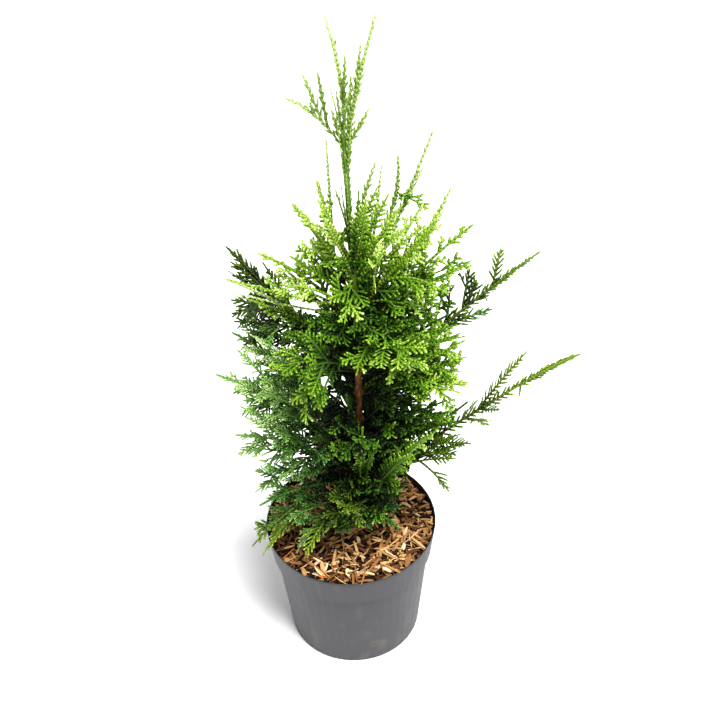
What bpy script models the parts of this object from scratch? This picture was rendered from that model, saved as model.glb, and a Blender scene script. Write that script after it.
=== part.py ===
"""A young thuja in its nursery pot.

The plant stands in a thin plastic pot filled with soil and topped with bark-chip mulch.
It has one trunk that forks into two leaders, boughs that leave the trunk on all sides,
and a mass of flat scaly sprays round each bough.

Run it with: blender --background --python part.py
Units are metres, +Z is up, and the origin is the centre of the pot's flat underside.
"""

import math
from collections import namedtuple

import bmesh
import bpy
import numpy as np

CM = 0.01
MM = 0.001
CLEARANCE = 0.0003             # between solids that touch on the real plant

# Pot
POT_HEIGHT = 14.7 * CM
RIM_RADIUS = 8.68 * CM         # outside, at the rim
COLLAR_HEIGHT = 3.4 * CM       # the wider band under the rim
COLLAR_STEP = 3.2 * MM         # how far the band stands proud of the wall below it
COLLAR_FOOT_RADIUS = 8.26 * CM
BASE_RADIUS = 6.78 * CM
BASE_EDGE = 2.0 * MM           # rounding where the wall meets the underside
WALL = 1.2 * MM
BASE_TOP = 4.5 * MM            # inside floor of the pot
CHANNEL_DEPTH = 3.0 * MM       # ring-shaped drain channel under the base
CHANNEL_INNER = 2.6 * CM
CHANNEL_OUTER = 5.9 * CM
POT_SEGMENTS = 48
DRAIN_HOLES = 8
DRAIN_RADIUS = 4.0 * MM
DRAIN_CIRCLE = 4.2 * CM
FOOT_NOTCHES = 8
NOTCH_WIDTH = 6.0 * MM
NOTCH_HEIGHT = 2.5 * MM
NOTCH_TURN = math.radians(12)

# Soil and mulch
SOIL_TOP = 13.2 * CM
MULCH_EDGE_LOW = 13.75 * CM    # where the mulch meets the pot at the back
MULCH_EDGE_HIGH = 14.45 * CM   # where it is heaped against the rim at the front
MULCH_CENTRE = 13.8 * CM
MULCH_BUMP = 0.9 * MM
MULCH_SEGMENTS = 32
MULCH_RINGS = 5

# Trunk: height, sideways place and radius at a few heights, in centimetres.
# It leans a little to +X, tapers all the way up and flares where it meets the soil.
TRUNK_SECTIONS = (
    (13.23, 0.60, 0.80),
    (13.6, 0.62, 0.66),
    (14.3, 0.66, 0.54),
    (16.0, 0.78, 0.47),
    (22.0, 1.08, 0.41),
    (30.0, 1.34, 0.35),
    (38.0, 1.42, 0.31),
    (46.0, 1.38, 0.27),
    (54.0, 1.15, 0.22),
    (60.0, 1.00, 0.17),
    (62.4, 0.98, 0.13),
    (62.9, 0.98, 0.05),
)
TRUNK_SIDES = 12
TRUNK_STATIONS = 16

# Limbs, in centimetres and degrees. Each leaves the trunk at `start` towards `bearing`
# (0 is +X, 90 is +Y), and its foliage ends `reach` out from the trunk at height `tip`.
# `bend` is the share of its reach at the middle of its bow, which `arch` lifts or lets
# sag. `width` and `depth` are the half sizes of its mass of foliage, across and through
# the flat of the spray. `bare` is how much of the limb shows before its foliage starts;
# with none, the mass is on the trunk.
Limb = namedtuple("Limb", "name start bearing reach tip bend arch width depth bare")
LIMBS = (
    Limb("leader_left", 61.0, 180, 1.1, 73.2, -0.5, 0.0, 1.6, 1.1, 0),
    Limb("leader_right", 59.4, 0, 3.0, 73.1, 0.28, 0.0, 1.6, 1.1, 0),
    Limb("leader_side_spray", 60.4, 178, 4.6, 65.5, 0.45, 1.8, 1.6, 0.9, 0),
    Limb("crown_left_inner", 48.5, 161, 3.0, 56.8, 0.6, -0.4, 2.2, 1.7, 0),
    Limb("crown_right_inner", 50.0, 20, 2.5, 58.4, 0.45, 1.0, 2.2, 1.7, 0),
    Limb("crown_left", 45.0, 160, 5.4, 53.5, 0.5, 1.0, 3.2, 2.2, 0),
    Limb("crown_right", 46.5, 42, 5.7, 57.0, 1.1, -1.2, 2.8, 2.0, 0),
    Limb("crown_front", 45.0, -98, 7.0, 47.0, 0.45, 3.6, 3.6, 2.2, 0),
    Limb("crown_back", 43.5, 95, 6.0, 47.5, 0.45, 1.4, 3.8, 2.4, 0),
    Limb("crown_front_right", 42.0, -28, 7.8, 54.6, 0.45, 1.0, 3.8, 2.0, 0),
    Limb("crown_back_right", 42.5, 34, 8.9, 58.6, 0.45, -1.0, 2.8, 1.8, 2.0),
    Limb("upper_right", 38.5, 4, 10.6, 51.4, 0.38, 1.6, 3.4, 2.0, 2.2),
    Limb("upper_left", 41.0, 180, 8.3, 49.7, 0.45, 2.4, 3.4, 2.0, 1.5),
    Limb("long_right_upper", 32.5, 8, 16.9, 46.7, 0.67, 3.7, 3.4, 1.5, 4.0),
    Limb("dark_left", 32.5, 157, 12.6, 46.9, 0.45, 0.8, 3.2, 1.8, 3.0),
    Limb("thin_left", 36.0, -177, 11.6, 47.6, 0.45, 3.0, 2.8, 1.5, 2.5),
    Limb("front_right_middle", 38.0, -62, 10.2, 44.0, 0.45, 3.0, 4.4, 2.2, 1.5),
    Limb("front_left_middle", 35.0, -120, 9.4, 43.0, 0.45, 2.4, 4.2, 2.2, 1.5),
    Limb("right_middle", 30.0, -18, 9.8, 38.6, 0.45, 2.6, 4.0, 2.0, 2.5),
    Limb("left_middle", 29.0, 176, 11.4, 40.0, 0.45, 1.6, 3.6, 2.0, 2.5),
    Limb("back_right_middle", 34.0, 55, 9.6, 45.0, 0.45, 0.6, 4.4, 2.4, 2.0),
    Limb("back_left_middle", 35.5, 120, 9.6, 44.6, 0.45, 0.8, 4.4, 2.4, 2.0),
    Limb("left_high_droop", 24.0, -169, 13.0, 37.8, 0.45, 2.8, 3.4, 1.8, 2.5),
    Limb("left_droop", 21.0, -158, 12.2, 32.0, 0.45, 3.0, 3.6, 1.8, 2.0),
    Limb("front_middle", 26.0, -88, 9.2, 34.6, 0.45, 2.0, 4.6, 2.2, 2.0),
    Limb("long_right_low", 19.5, -6, 20.7, 38.1, 0.83, 8.5, 3.6, 1.5, 4.5),
    Limb("right_low", 17.9, -22, 10.8, 29.0, 0.45, 2.6, 3.4, 1.6, 3.0),
    Limb("front_right_low", 16.2, -39, 9.8, 33.2, 0.45, 1.4, 4.0, 1.8, 1.5),
    Limb("front_low", 16.8, -100, 7.4, 23.6, 0.45, 2.6, 4.0, 1.6, 1.2),
    Limb("front_left_low", 16.4, -140, 8.2, 16.6, 0.45, 3.4, 3.4, 1.4, 1.2),
    Limb("left_low", 17.8, -158, 11.2, 17.4, 0.45, 5.4, 3.8, 1.7, 1.5),
    Limb("back_left_low", 20.5, 136, 9.6, 30.4, 0.45, 1.6, 4.6, 2.4, 2.0),
    Limb("back_right_low", 19.0, 62, 9.6, 29.4, 0.45, 1.6, 4.6, 2.4, 2.0),
)
BOW_HEIGHT = 0.45              # the height of a bow without lift, as a share of the rise
BOUGH_ROOT_RADIUS = 1.0 * MM
BOUGH_GROWTH = 0.006           # extra root radius for each metre of length
BOUGH_TIP_SHARE = 0.62         # a bough's end against its root
BOUGH_COLLAR = 1.35            # swelling where a bough leaves the trunk
BOUGH_SIDES = 6
BOUGH_STATIONS = 6
MASS_SIDES = 8
MASS_STATIONS = 9
MASS_COLLAR = 1.8 * MM         # how much wider a mass starts than its bough ends
MASS_BULGE = 0.42              # where along its length a mass is widest
MASS_LOBES = 3                 # side sprays that swell its outline
MASS_LOBE_SHARE = 0.16
MASS_UNEVEN = 0.14
MASS_START_RADIUS = 1.4 * MM   # where a mass sits right on the trunk
MASS_GAP = 4.0 * MM            # kept between neighbouring masses
MASS_BARK_GAP = 2.0 * MM       # kept beside the trunk
MASS_LEAST = 0.12              # the least share of its section that a mass keeps
MASS_FLOOR = POT_HEIGHT + 2.5 * MM
SPINE_POINTS = 60

# Colours (linear), roughness
POT_GREY = (0.070, 0.068, 0.073)
SOIL_BROWN = (0.020, 0.012, 0.007)
MULCH_TAN = (0.420, 0.235, 0.105)
BARK_BROWN = (0.230, 0.095, 0.040)
FOLIAGE_GREEN = (0.070, 0.210, 0.020)


def clear_scene():
    for thing in list(bpy.data.objects):
        bpy.data.objects.remove(thing, do_unlink=True)


def material(name, colour, roughness):
    made = bpy.data.materials.new(name)
    made.use_nodes = True
    shader = made.node_tree.nodes["Principled BSDF"]
    shader.inputs["Base Color"].default_value = (*colour, 1.0)
    shader.inputs["Roughness"].default_value = roughness
    shader.inputs["Metallic"].default_value = 0.0
    return made


def add_object(name, vertices, faces, finish, smooth=True):
    """A mesh object with its faces turned outwards."""
    mesh = bpy.data.meshes.new(name)
    mesh.from_pydata([tuple(v) for v in vertices], [], faces)
    work = bmesh.new()
    work.from_mesh(mesh)
    bmesh.ops.recalc_face_normals(work, faces=work.faces)
    work.to_mesh(mesh)
    work.free()
    if smooth:
        mesh.shade_smooth()
        mesh.set_sharp_from_angle(angle=math.radians(40))
    made = bpy.data.objects.new(name, mesh)
    made.data.materials.append(finish)
    bpy.context.scene.collection.objects.link(made)
    return made


def bridge(first, second):
    """Quads between two rings of vertex numbers."""
    count = len(first)
    return [(first[i], first[(i + 1) % count], second[(i + 1) % count], second[i])
            for i in range(count)]


def turned(name, profile, segments, finish):
    """A closed body turned about Z from (radius, height) points on or off the axis."""
    vertices = []
    rings = []
    for radius, height in profile:
        if radius == 0:
            rings.append([len(vertices)])
            vertices.append((0.0, 0.0, height))
            continue
        rings.append(list(range(len(vertices), len(vertices) + segments)))
        for step in range(segments):
            angle = 2 * math.pi * step / segments
            vertices.append((radius * math.cos(angle), radius * math.sin(angle), height))
    faces = []
    for lower, upper in zip(rings, rings[1:]):
        if len(lower) == 1:
            faces += [(lower[0], upper[(i + 1) % segments], upper[i]) for i in range(segments)]
        elif len(upper) == 1:
            faces += [(lower[i], lower[(i + 1) % segments], upper[0]) for i in range(segments)]
        else:
            faces += bridge(lower, upper)
    return add_object(name, vertices, faces, finish)


def pot_outside(height):
    """Outer radius of the pot at a height."""
    step = POT_HEIGHT - COLLAR_HEIGHT
    if height >= step:
        share = (height - step) / COLLAR_HEIGHT
        return COLLAR_FOOT_RADIUS + (RIM_RADIUS - COLLAR_FOOT_RADIUS) * share
    return BASE_RADIUS + (COLLAR_FOOT_RADIUS - COLLAR_STEP - BASE_RADIUS) * height / step


def pot_inside(height):
    return pot_outside(height) - WALL


def cutter(name, vertices, faces):
    tool = add_object(name, vertices, faces, material(name, POT_GREY, 0.5), smooth=False)
    tool.hide_render = True
    tool.display_type = "WIRE"
    return tool


def prism(vertices, faces, corners, bottom, top):
    """Adds an upright prism over a ring of (x, y) corners."""
    start = len(vertices)
    count = len(corners)
    vertices += [(x, y, bottom) for x, y in corners] + [(x, y, top) for x, y in corners]
    low = list(range(start, start + count))
    high = list(range(start + count, start + 2 * count))
    faces.append(tuple(reversed(low)))
    faces.append(tuple(high))
    faces += bridge(low, high)


def drain_cutter():
    """Round holes through the floor of the drain channel."""
    vertices = []
    faces = []
    for hole in range(DRAIN_HOLES):
        angle = 2 * math.pi * (hole + 0.5) / DRAIN_HOLES
        middle = (DRAIN_CIRCLE * math.cos(angle), DRAIN_CIRCLE * math.sin(angle))
        turns = [2 * math.pi * side / 12 for side in range(12)]
        corners = [(middle[0] + DRAIN_RADIUS * math.cos(turn),
                    middle[1] + DRAIN_RADIUS * math.sin(turn)) for turn in turns]
        prism(vertices, faces, corners, CHANNEL_DEPTH - 2 * MM, BASE_TOP + 2 * MM)
    return cutter("drain_cutter", vertices, faces)


def notch_cutter():
    """Slots under the foot ring that let the drain channel run out."""
    vertices = []
    faces = []
    near = CHANNEL_OUTER - 3 * MM
    far = BASE_RADIUS + 4 * MM
    for notch in range(FOOT_NOTCHES):
        angle = 2 * math.pi * notch / FOOT_NOTCHES + NOTCH_TURN
        out = (math.cos(angle), math.sin(angle))
        side = (-out[1] * NOTCH_WIDTH / 2, out[0] * NOTCH_WIDTH / 2)
        corners = [(out[0] * reach + side[0] * turn, out[1] * reach + side[1] * turn)
                   for reach, turn in ((near, -1), (far, -1), (far, 1), (near, 1))]
        prism(vertices, faces, corners, -2 * MM, NOTCH_HEIGHT)
    return cutter("notch_cutter", vertices, faces)


def cut(target, tool):
    modifier = target.modifiers.new(tool.name, "BOOLEAN")
    modifier.operation = "DIFFERENCE"
    modifier.solver = "EXACT"
    modifier.object = tool


def build_pot():
    step = POT_HEIGHT - COLLAR_HEIGHT
    lip = WALL / 2
    profile = [
        (0, 0),
        (CHANNEL_INNER, 0),
        (CHANNEL_INNER, CHANNEL_DEPTH),
        (CHANNEL_OUTER, CHANNEL_DEPTH),
        (CHANNEL_OUTER, 0),
        (BASE_RADIUS - BASE_EDGE, 0),
        (pot_outside(BASE_EDGE), BASE_EDGE),
        (pot_outside(step - MM / 2), step - COLLAR_STEP / 2),
        (pot_outside(step), step),
        (RIM_RADIUS, POT_HEIGHT - lip),
        (RIM_RADIUS - lip, POT_HEIGHT),
        (pot_inside(POT_HEIGHT), POT_HEIGHT - lip),
        (pot_inside(step + WALL), step + WALL),
        (pot_inside(step - WALL), step),
        (pot_inside(BASE_TOP), BASE_TOP),
        (0, BASE_TOP),
    ]
    pot = turned("pot", profile, POT_SEGMENTS, material("pot_plastic", POT_GREY, 0.5))
    cut(pot, drain_cutter())
    cut(pot, notch_cutter())


def build_soil():
    step = POT_HEIGHT - COLLAR_HEIGHT
    gap = 2 * CLEARANCE
    profile = [
        (0, BASE_TOP + gap),
        (pot_inside(BASE_TOP) - gap, BASE_TOP + gap),
        (pot_inside(step - WALL) - gap, step + gap),
        (pot_inside(step + WALL) - gap, step + WALL + gap),
        (pot_inside(SOIL_TOP) - gap, SOIL_TOP),
        (0, SOIL_TOP),
    ]
    turned("soil", profile, POT_SEGMENTS, material("potting_soil", SOIL_BROWN, 0.95))


def mulch_height(share, angle):
    """Top of the mulch, a share of the way out from the trunk, heaped to the front."""
    front = 0.5 - 0.5 * math.sin(angle)
    edge = MULCH_EDGE_LOW + (MULCH_EDGE_HIGH - MULCH_EDGE_LOW) * front ** 1.5
    level = MULCH_CENTRE + (edge - MULCH_CENTRE) * share ** 1.6
    bump = math.sin(3 * angle + 7 * share) + math.sin(7 * angle - 11 * share)
    return level + MULCH_BUMP * bump * share


def build_mulch():
    """An uneven ring of chips round the trunk, from the soil's top to near the rim."""
    bottom = SOIL_TOP + CLEARANCE
    middle = (trunk_place(SOIL_TOP)[0], 0.0)
    hole = trunk_radius(SOIL_TOP) + 2 * CLEARANCE
    angles = [2 * math.pi * step / MULCH_SEGMENTS for step in range(MULCH_SEGMENTS)]
    vertices = []
    rings = []
    stations = [(share / (MULCH_RINGS - 1), None) for share in range(MULCH_RINGS)]
    stations += [(1.0, bottom), (0.0, bottom)]
    for share, height in stations:
        rings.append(list(range(len(vertices), len(vertices) + MULCH_SEGMENTS)))
        for angle in angles:
            level = mulch_height(share, angle) if height is None else height
            edge = pot_inside(level) - 2 * CLEARANCE
            near = (middle[0] + hole * math.cos(angle), hole * math.sin(angle))
            far = (edge * math.cos(angle), edge * math.sin(angle))
            vertices.append((near[0] + (far[0] - near[0]) * share,
                             near[1] + (far[1] - near[1]) * share, level))
    faces = []
    for first, second in zip(rings, rings[1:] + rings[:1]):
        faces += bridge(first, second)
    add_object("mulch", vertices, faces, material("bark_chips", MULCH_TAN, 0.85))


def trunk_place(height):
    """Centre of the trunk at a height, in metres."""
    heights = [row[0] * CM for row in TRUNK_SECTIONS]
    return np.array([np.interp(height, heights, [row[1] * CM for row in TRUNK_SECTIONS]),
                     0.0, height])


def trunk_radius(height):
    heights = [row[0] * CM for row in TRUNK_SECTIONS]
    return float(np.interp(height, heights, [row[2] * CM for row in TRUNK_SECTIONS]))


def trunk_samples():
    """Centres and radii of the trunk every 2 mm, for measuring distances to its bark."""
    heights = np.arange(TRUNK_SECTIONS[0][0] * CM, TRUNK_SECTIONS[-1][0] * CM, 2 * MM)
    return (np.array([trunk_place(height) for height in heights]),
            np.array([trunk_radius(height) for height in heights]))


TRUNK_CENTRES, TRUNK_RADII = trunk_samples()


def trunk_gaps(points):
    """Clear distance from each point to the trunk's bark."""
    spans = np.linalg.norm(points[:, None, :] - TRUNK_CENTRES[None, :, :], axis=2)
    return np.min(spans - TRUNK_RADII, axis=1)


def build_trunk():
    low = TRUNK_SECTIONS[0][0] * CM
    high = TRUNK_SECTIONS[-1][0] * CM
    heights = [row[0] * CM for row in TRUNK_SECTIONS]
    steps = [low + (high - low) * step / TRUNK_STATIONS for step in range(TRUNK_STATIONS)]
    heights = sorted(heights + [step for step in steps
                                if min(abs(step - height) for height in heights) > 2 * CM])
    sections = []
    for height in heights:
        centre = trunk_place(height)
        radius = trunk_radius(height)
        sections.append([centre + radius * np.array([math.cos(turn), math.sin(turn), 0.0])
                         for turn in np.linspace(0, 2 * math.pi, TRUNK_SIDES, endpoint=False)])
    loft("trunk", sections, material("trunk_bark", BARK_BROWN, 0.8))


def loft(name, sections, finish, point=None):
    """A closed body through rings of points, with flat ends or a last point."""
    vertices = [corner for section in sections for corner in section]
    count = len(sections[0])
    rings = [list(range(count * ring, count * (ring + 1))) for ring in range(len(sections))]
    faces = [tuple(reversed(rings[0]))]
    for first, second in zip(rings, rings[1:]):
        faces += bridge(first, second)
    if point is None:
        faces.append(tuple(rings[-1]))
    else:
        vertices.append(point)
        last = rings[-1]
        faces += [(last[i], last[(i + 1) % count], len(vertices) - 1) for i in range(count)]
    add_object(name, vertices, faces, finish)


def limb_spine(limb):
    """The limb's centre line, from the trunk's centre to the tip of its foliage."""
    bearing = math.radians(limb.bearing)
    out = np.array([math.cos(bearing), math.sin(bearing), 0.0])
    root = trunk_place(limb.start * CM)
    tip = root + out * limb.reach * CM
    tip[2] = limb.tip * CM
    bend = root + out * limb.reach * CM * limb.bend
    bend[2] += (tip[2] - root[2]) * BOW_HEIGHT + limb.arch * CM
    share = np.linspace(0, 1, SPINE_POINTS)[:, None]
    return (1 - share) ** 2 * root + 2 * share * (1 - share) * bend + share ** 2 * tip


def frames_along(spine):
    """Tangent, sideways and upward directions at each point of a spine."""
    tangents = np.gradient(spine, axis=0)
    tangents /= np.linalg.norm(tangents, axis=1)[:, None]
    run = spine[-1] - spine[0]
    flat = np.array([-run[1], run[0], 0.0])
    flat /= np.linalg.norm(flat)
    sides = np.repeat(flat[None, :], len(spine), axis=0)
    ups = np.cross(tangents, sides)
    return tangents, sides, ups


def section(centre, side, up, width, depth, count):
    turns = np.linspace(0, 2 * math.pi, count, endpoint=False)
    return (centre + np.cos(turns)[:, None] * width * side
            + np.sin(turns)[:, None] * depth * up)


def bough_root_radius(limb):
    return BOUGH_ROOT_RADIUS + BOUGH_GROWTH * limb.reach * CM


def first_clear(spine, sides, ups, radius, count):
    """The first place along a spine where a ring of this radius clears the bark."""
    for number in range(len(spine)):
        ring = section(spine[number], sides[number], ups[number], radius, radius, count)
        if trunk_gaps(ring).min() >= CLEARANCE:
            return number
    return len(spine) - 1


def fine_spine(limb):
    """The same centre line with points a fraction of a millimetre apart."""
    coarse = limb_spine(limb)
    lengths = np.concatenate([[0], np.cumsum(np.linalg.norm(np.diff(coarse, axis=0), axis=1))])
    places = np.arange(0, lengths[-1], CLEARANCE)
    return np.stack([np.interp(places, lengths, coarse[:, axis]) for axis in range(3)], axis=1)


def build_bough(limb, finish):
    """The bare inner stretch of a limb. Returns how far along the fine spine it ends."""
    spine = fine_spine(limb)
    _, sides, ups = frames_along(spine)
    root = bough_root_radius(limb)
    begin = first_clear(spine, sides, ups, root * BOUGH_COLLAR, BOUGH_SIDES)
    end = begin + round(limb.bare * CM / CLEARANCE)
    sections = []
    for share in np.linspace(0, 1, BOUGH_STATIONS) ** 1.5:
        number = begin + round((end - begin) * share)
        collar = 1 + (BOUGH_COLLAR - 1) * max(0.0, 1 - share * 5)
        radius = root * collar * (1 + (BOUGH_TIP_SHARE - 1) * share)
        sections.append(section(spine[number], sides[number], ups[number],
                                radius, radius, BOUGH_SIDES))
    loft("bough_" + limb.name, sections, finish)
    return end


def keep_apart(points, centres, own, others):
    """Draws points in towards their centres until each is nearest its own limb."""
    best = centres + (points - centres) * MASS_LEAST
    done = np.zeros(len(points), dtype=bool)
    for share in np.linspace(1, MASS_LEAST, 30):
        tried = centres + (points - centres) * share
        near_own = nearest(tried, own)
        near_other = nearest(tried, others)
        clear = near_other - near_own > MASS_GAP
        clear &= (trunk_gaps(tried) > MASS_BARK_GAP) & (tried[:, 2] > MASS_FLOOR)
        fresh = clear & ~done
        best[fresh] = tried[fresh]
        done |= fresh
    return best


def nearest(points, samples):
    return np.min(np.linalg.norm(points[:, None, :] - samples[None, :, :], axis=2), axis=1)


def build_mass(limb, begin, start_radius, others, seed, finish):
    """One uneven closed mass of foliage round the outer stretch of a limb."""
    chance = np.random.RandomState(seed)
    spine = fine_spine(limb)
    _, sides, ups = frames_along(spine)
    if begin is None:
        begin = first_clear(spine, sides, ups, start_radius, MASS_SIDES)
    else:
        begin += 1
    own = spine[begin:][::12]
    phase = chance.uniform(0, 2 * math.pi)
    sections = [section(spine[begin], sides[begin], ups[begin],
                        start_radius, start_radius, MASS_SIDES)]
    for share in np.linspace(0, 1, MASS_STATIONS + 1)[1:-1]:
        number = begin + round((len(spine) - 1 - begin) * share)
        swell = share ** MASS_BULGE * (1 - share) ** (1 - MASS_BULGE) * 2
        lobes = 1 + MASS_LOBE_SHARE * math.sin(2 * math.pi * MASS_LOBES * share + phase)
        ring = section(spine[number], sides[number], ups[number],
                       limb.width * CM * swell * lobes, limb.depth * CM * swell, MASS_SIDES)
        uneven = 1 + MASS_UNEVEN * chance.uniform(-1, 1, (MASS_SIDES, 1))
        ring = spine[number] + (ring - spine[number]) * uneven
        centres = np.repeat(spine[number][None, :], MASS_SIDES, axis=0)
        sections.append(keep_apart(ring, centres, own, others))
    loft("foliage_" + limb.name, sections, finish, point=spine[-1])


def build_plant():
    bark = material("bough_bark", BARK_BROWN, 0.8)
    green = material("foliage", FOLIAGE_GREEN, 0.6)
    build_trunk()
    spines = [limb_spine(limb) for limb in LIMBS]
    for number, limb in enumerate(LIMBS):
        start_radius = MASS_START_RADIUS
        end = None
        if limb.bare:
            start_radius = bough_root_radius(limb) * BOUGH_TIP_SHARE + MASS_COLLAR
            end = build_bough(limb, bark)
        others = np.concatenate([spine for place, spine in enumerate(spines) if place != number])
        build_mass(limb, end, start_radius, others, number, green)


def build():
    clear_scene()
    build_pot()
    build_soil()
    build_mulch()
    build_plant()


build()
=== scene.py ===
"""The looks of the potted thuja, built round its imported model.

Foliage grows on from the trunk and limbs by one seeded rule. Limbs, leading shoots and side
boughs carry fronds, a frond carries branchlets, and a long branchlet carries side tips. All
of them are chains of scale leaves. Units are metres and +Z is up. The tables of limbs and leads
are in centimetres and degrees, and places in the photograph are in its pixels.
"""

import math
from collections import namedtuple

import bpy
import numpy as np
from mathutils import Matrix, Vector
from mathutils.bvhtree import BVHTree


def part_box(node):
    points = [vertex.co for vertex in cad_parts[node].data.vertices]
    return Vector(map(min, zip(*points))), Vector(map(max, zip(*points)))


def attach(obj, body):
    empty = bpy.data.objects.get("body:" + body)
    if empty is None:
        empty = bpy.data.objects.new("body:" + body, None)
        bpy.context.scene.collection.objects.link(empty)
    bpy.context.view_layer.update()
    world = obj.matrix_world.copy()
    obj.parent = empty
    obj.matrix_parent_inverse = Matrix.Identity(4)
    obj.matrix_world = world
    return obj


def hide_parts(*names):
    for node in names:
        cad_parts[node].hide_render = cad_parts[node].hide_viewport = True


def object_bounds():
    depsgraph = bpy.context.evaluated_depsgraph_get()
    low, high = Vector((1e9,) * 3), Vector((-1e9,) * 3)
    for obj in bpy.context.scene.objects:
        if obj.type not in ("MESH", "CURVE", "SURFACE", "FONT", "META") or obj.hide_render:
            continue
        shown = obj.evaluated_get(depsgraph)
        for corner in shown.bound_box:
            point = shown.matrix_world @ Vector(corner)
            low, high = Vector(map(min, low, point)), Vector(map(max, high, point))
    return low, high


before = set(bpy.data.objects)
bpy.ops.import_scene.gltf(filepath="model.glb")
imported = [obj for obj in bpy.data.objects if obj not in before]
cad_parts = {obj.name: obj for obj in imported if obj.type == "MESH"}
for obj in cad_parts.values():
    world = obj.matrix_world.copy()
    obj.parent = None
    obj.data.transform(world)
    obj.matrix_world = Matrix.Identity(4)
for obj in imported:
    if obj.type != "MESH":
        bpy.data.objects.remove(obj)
CAD_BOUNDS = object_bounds()

CM = 0.01
MM = 0.001

# Camera: where it stands, how far it looks down, how it leans, and its lens
CAMERA_PLACE = (0.016, -1.102, 1.364)
CAMERA_DOWN = math.radians(42.15)
CAMERA_LEAN = math.radians(-2.37)
CAMERA_LENS = 79.65
CAMERA_SENSOR = 36.0
PHOTO_SIZE = 720


def camera_axes():
    """Where the camera's right, its top and its lens face: along +Y and down, leaning a little."""
    down, lean = CAMERA_DOWN, CAMERA_LEAN
    forward = Vector((0.0, math.cos(down), -math.sin(down)))
    level_up = Vector((0.0, math.sin(down), math.cos(down)))
    level_right = Vector((1.0, 0.0, 0.0))
    right = math.cos(lean) * level_right + math.sin(lean) * level_up
    up = math.cos(lean) * level_up - math.sin(lean) * level_right
    return right, up, forward


def seen(x, y, depth):
    """The place, in centimetres, of a pixel of the photograph at a depth along Y."""
    right, up, forward = [np.array(axis) for axis in camera_axes()]
    ray = forward * PHOTO_SIZE * CAMERA_LENS / CAMERA_SENSOR
    ray = ray + right * (x - PHOTO_SIZE / 2) - up * (y - PHOTO_SIZE / 2)
    eye = np.array(CAMERA_PLACE) / CM
    place = eye + ray * (depth - eye[1]) / ray[1]
    return tuple(round(float(value), 1) for value in place)


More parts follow.
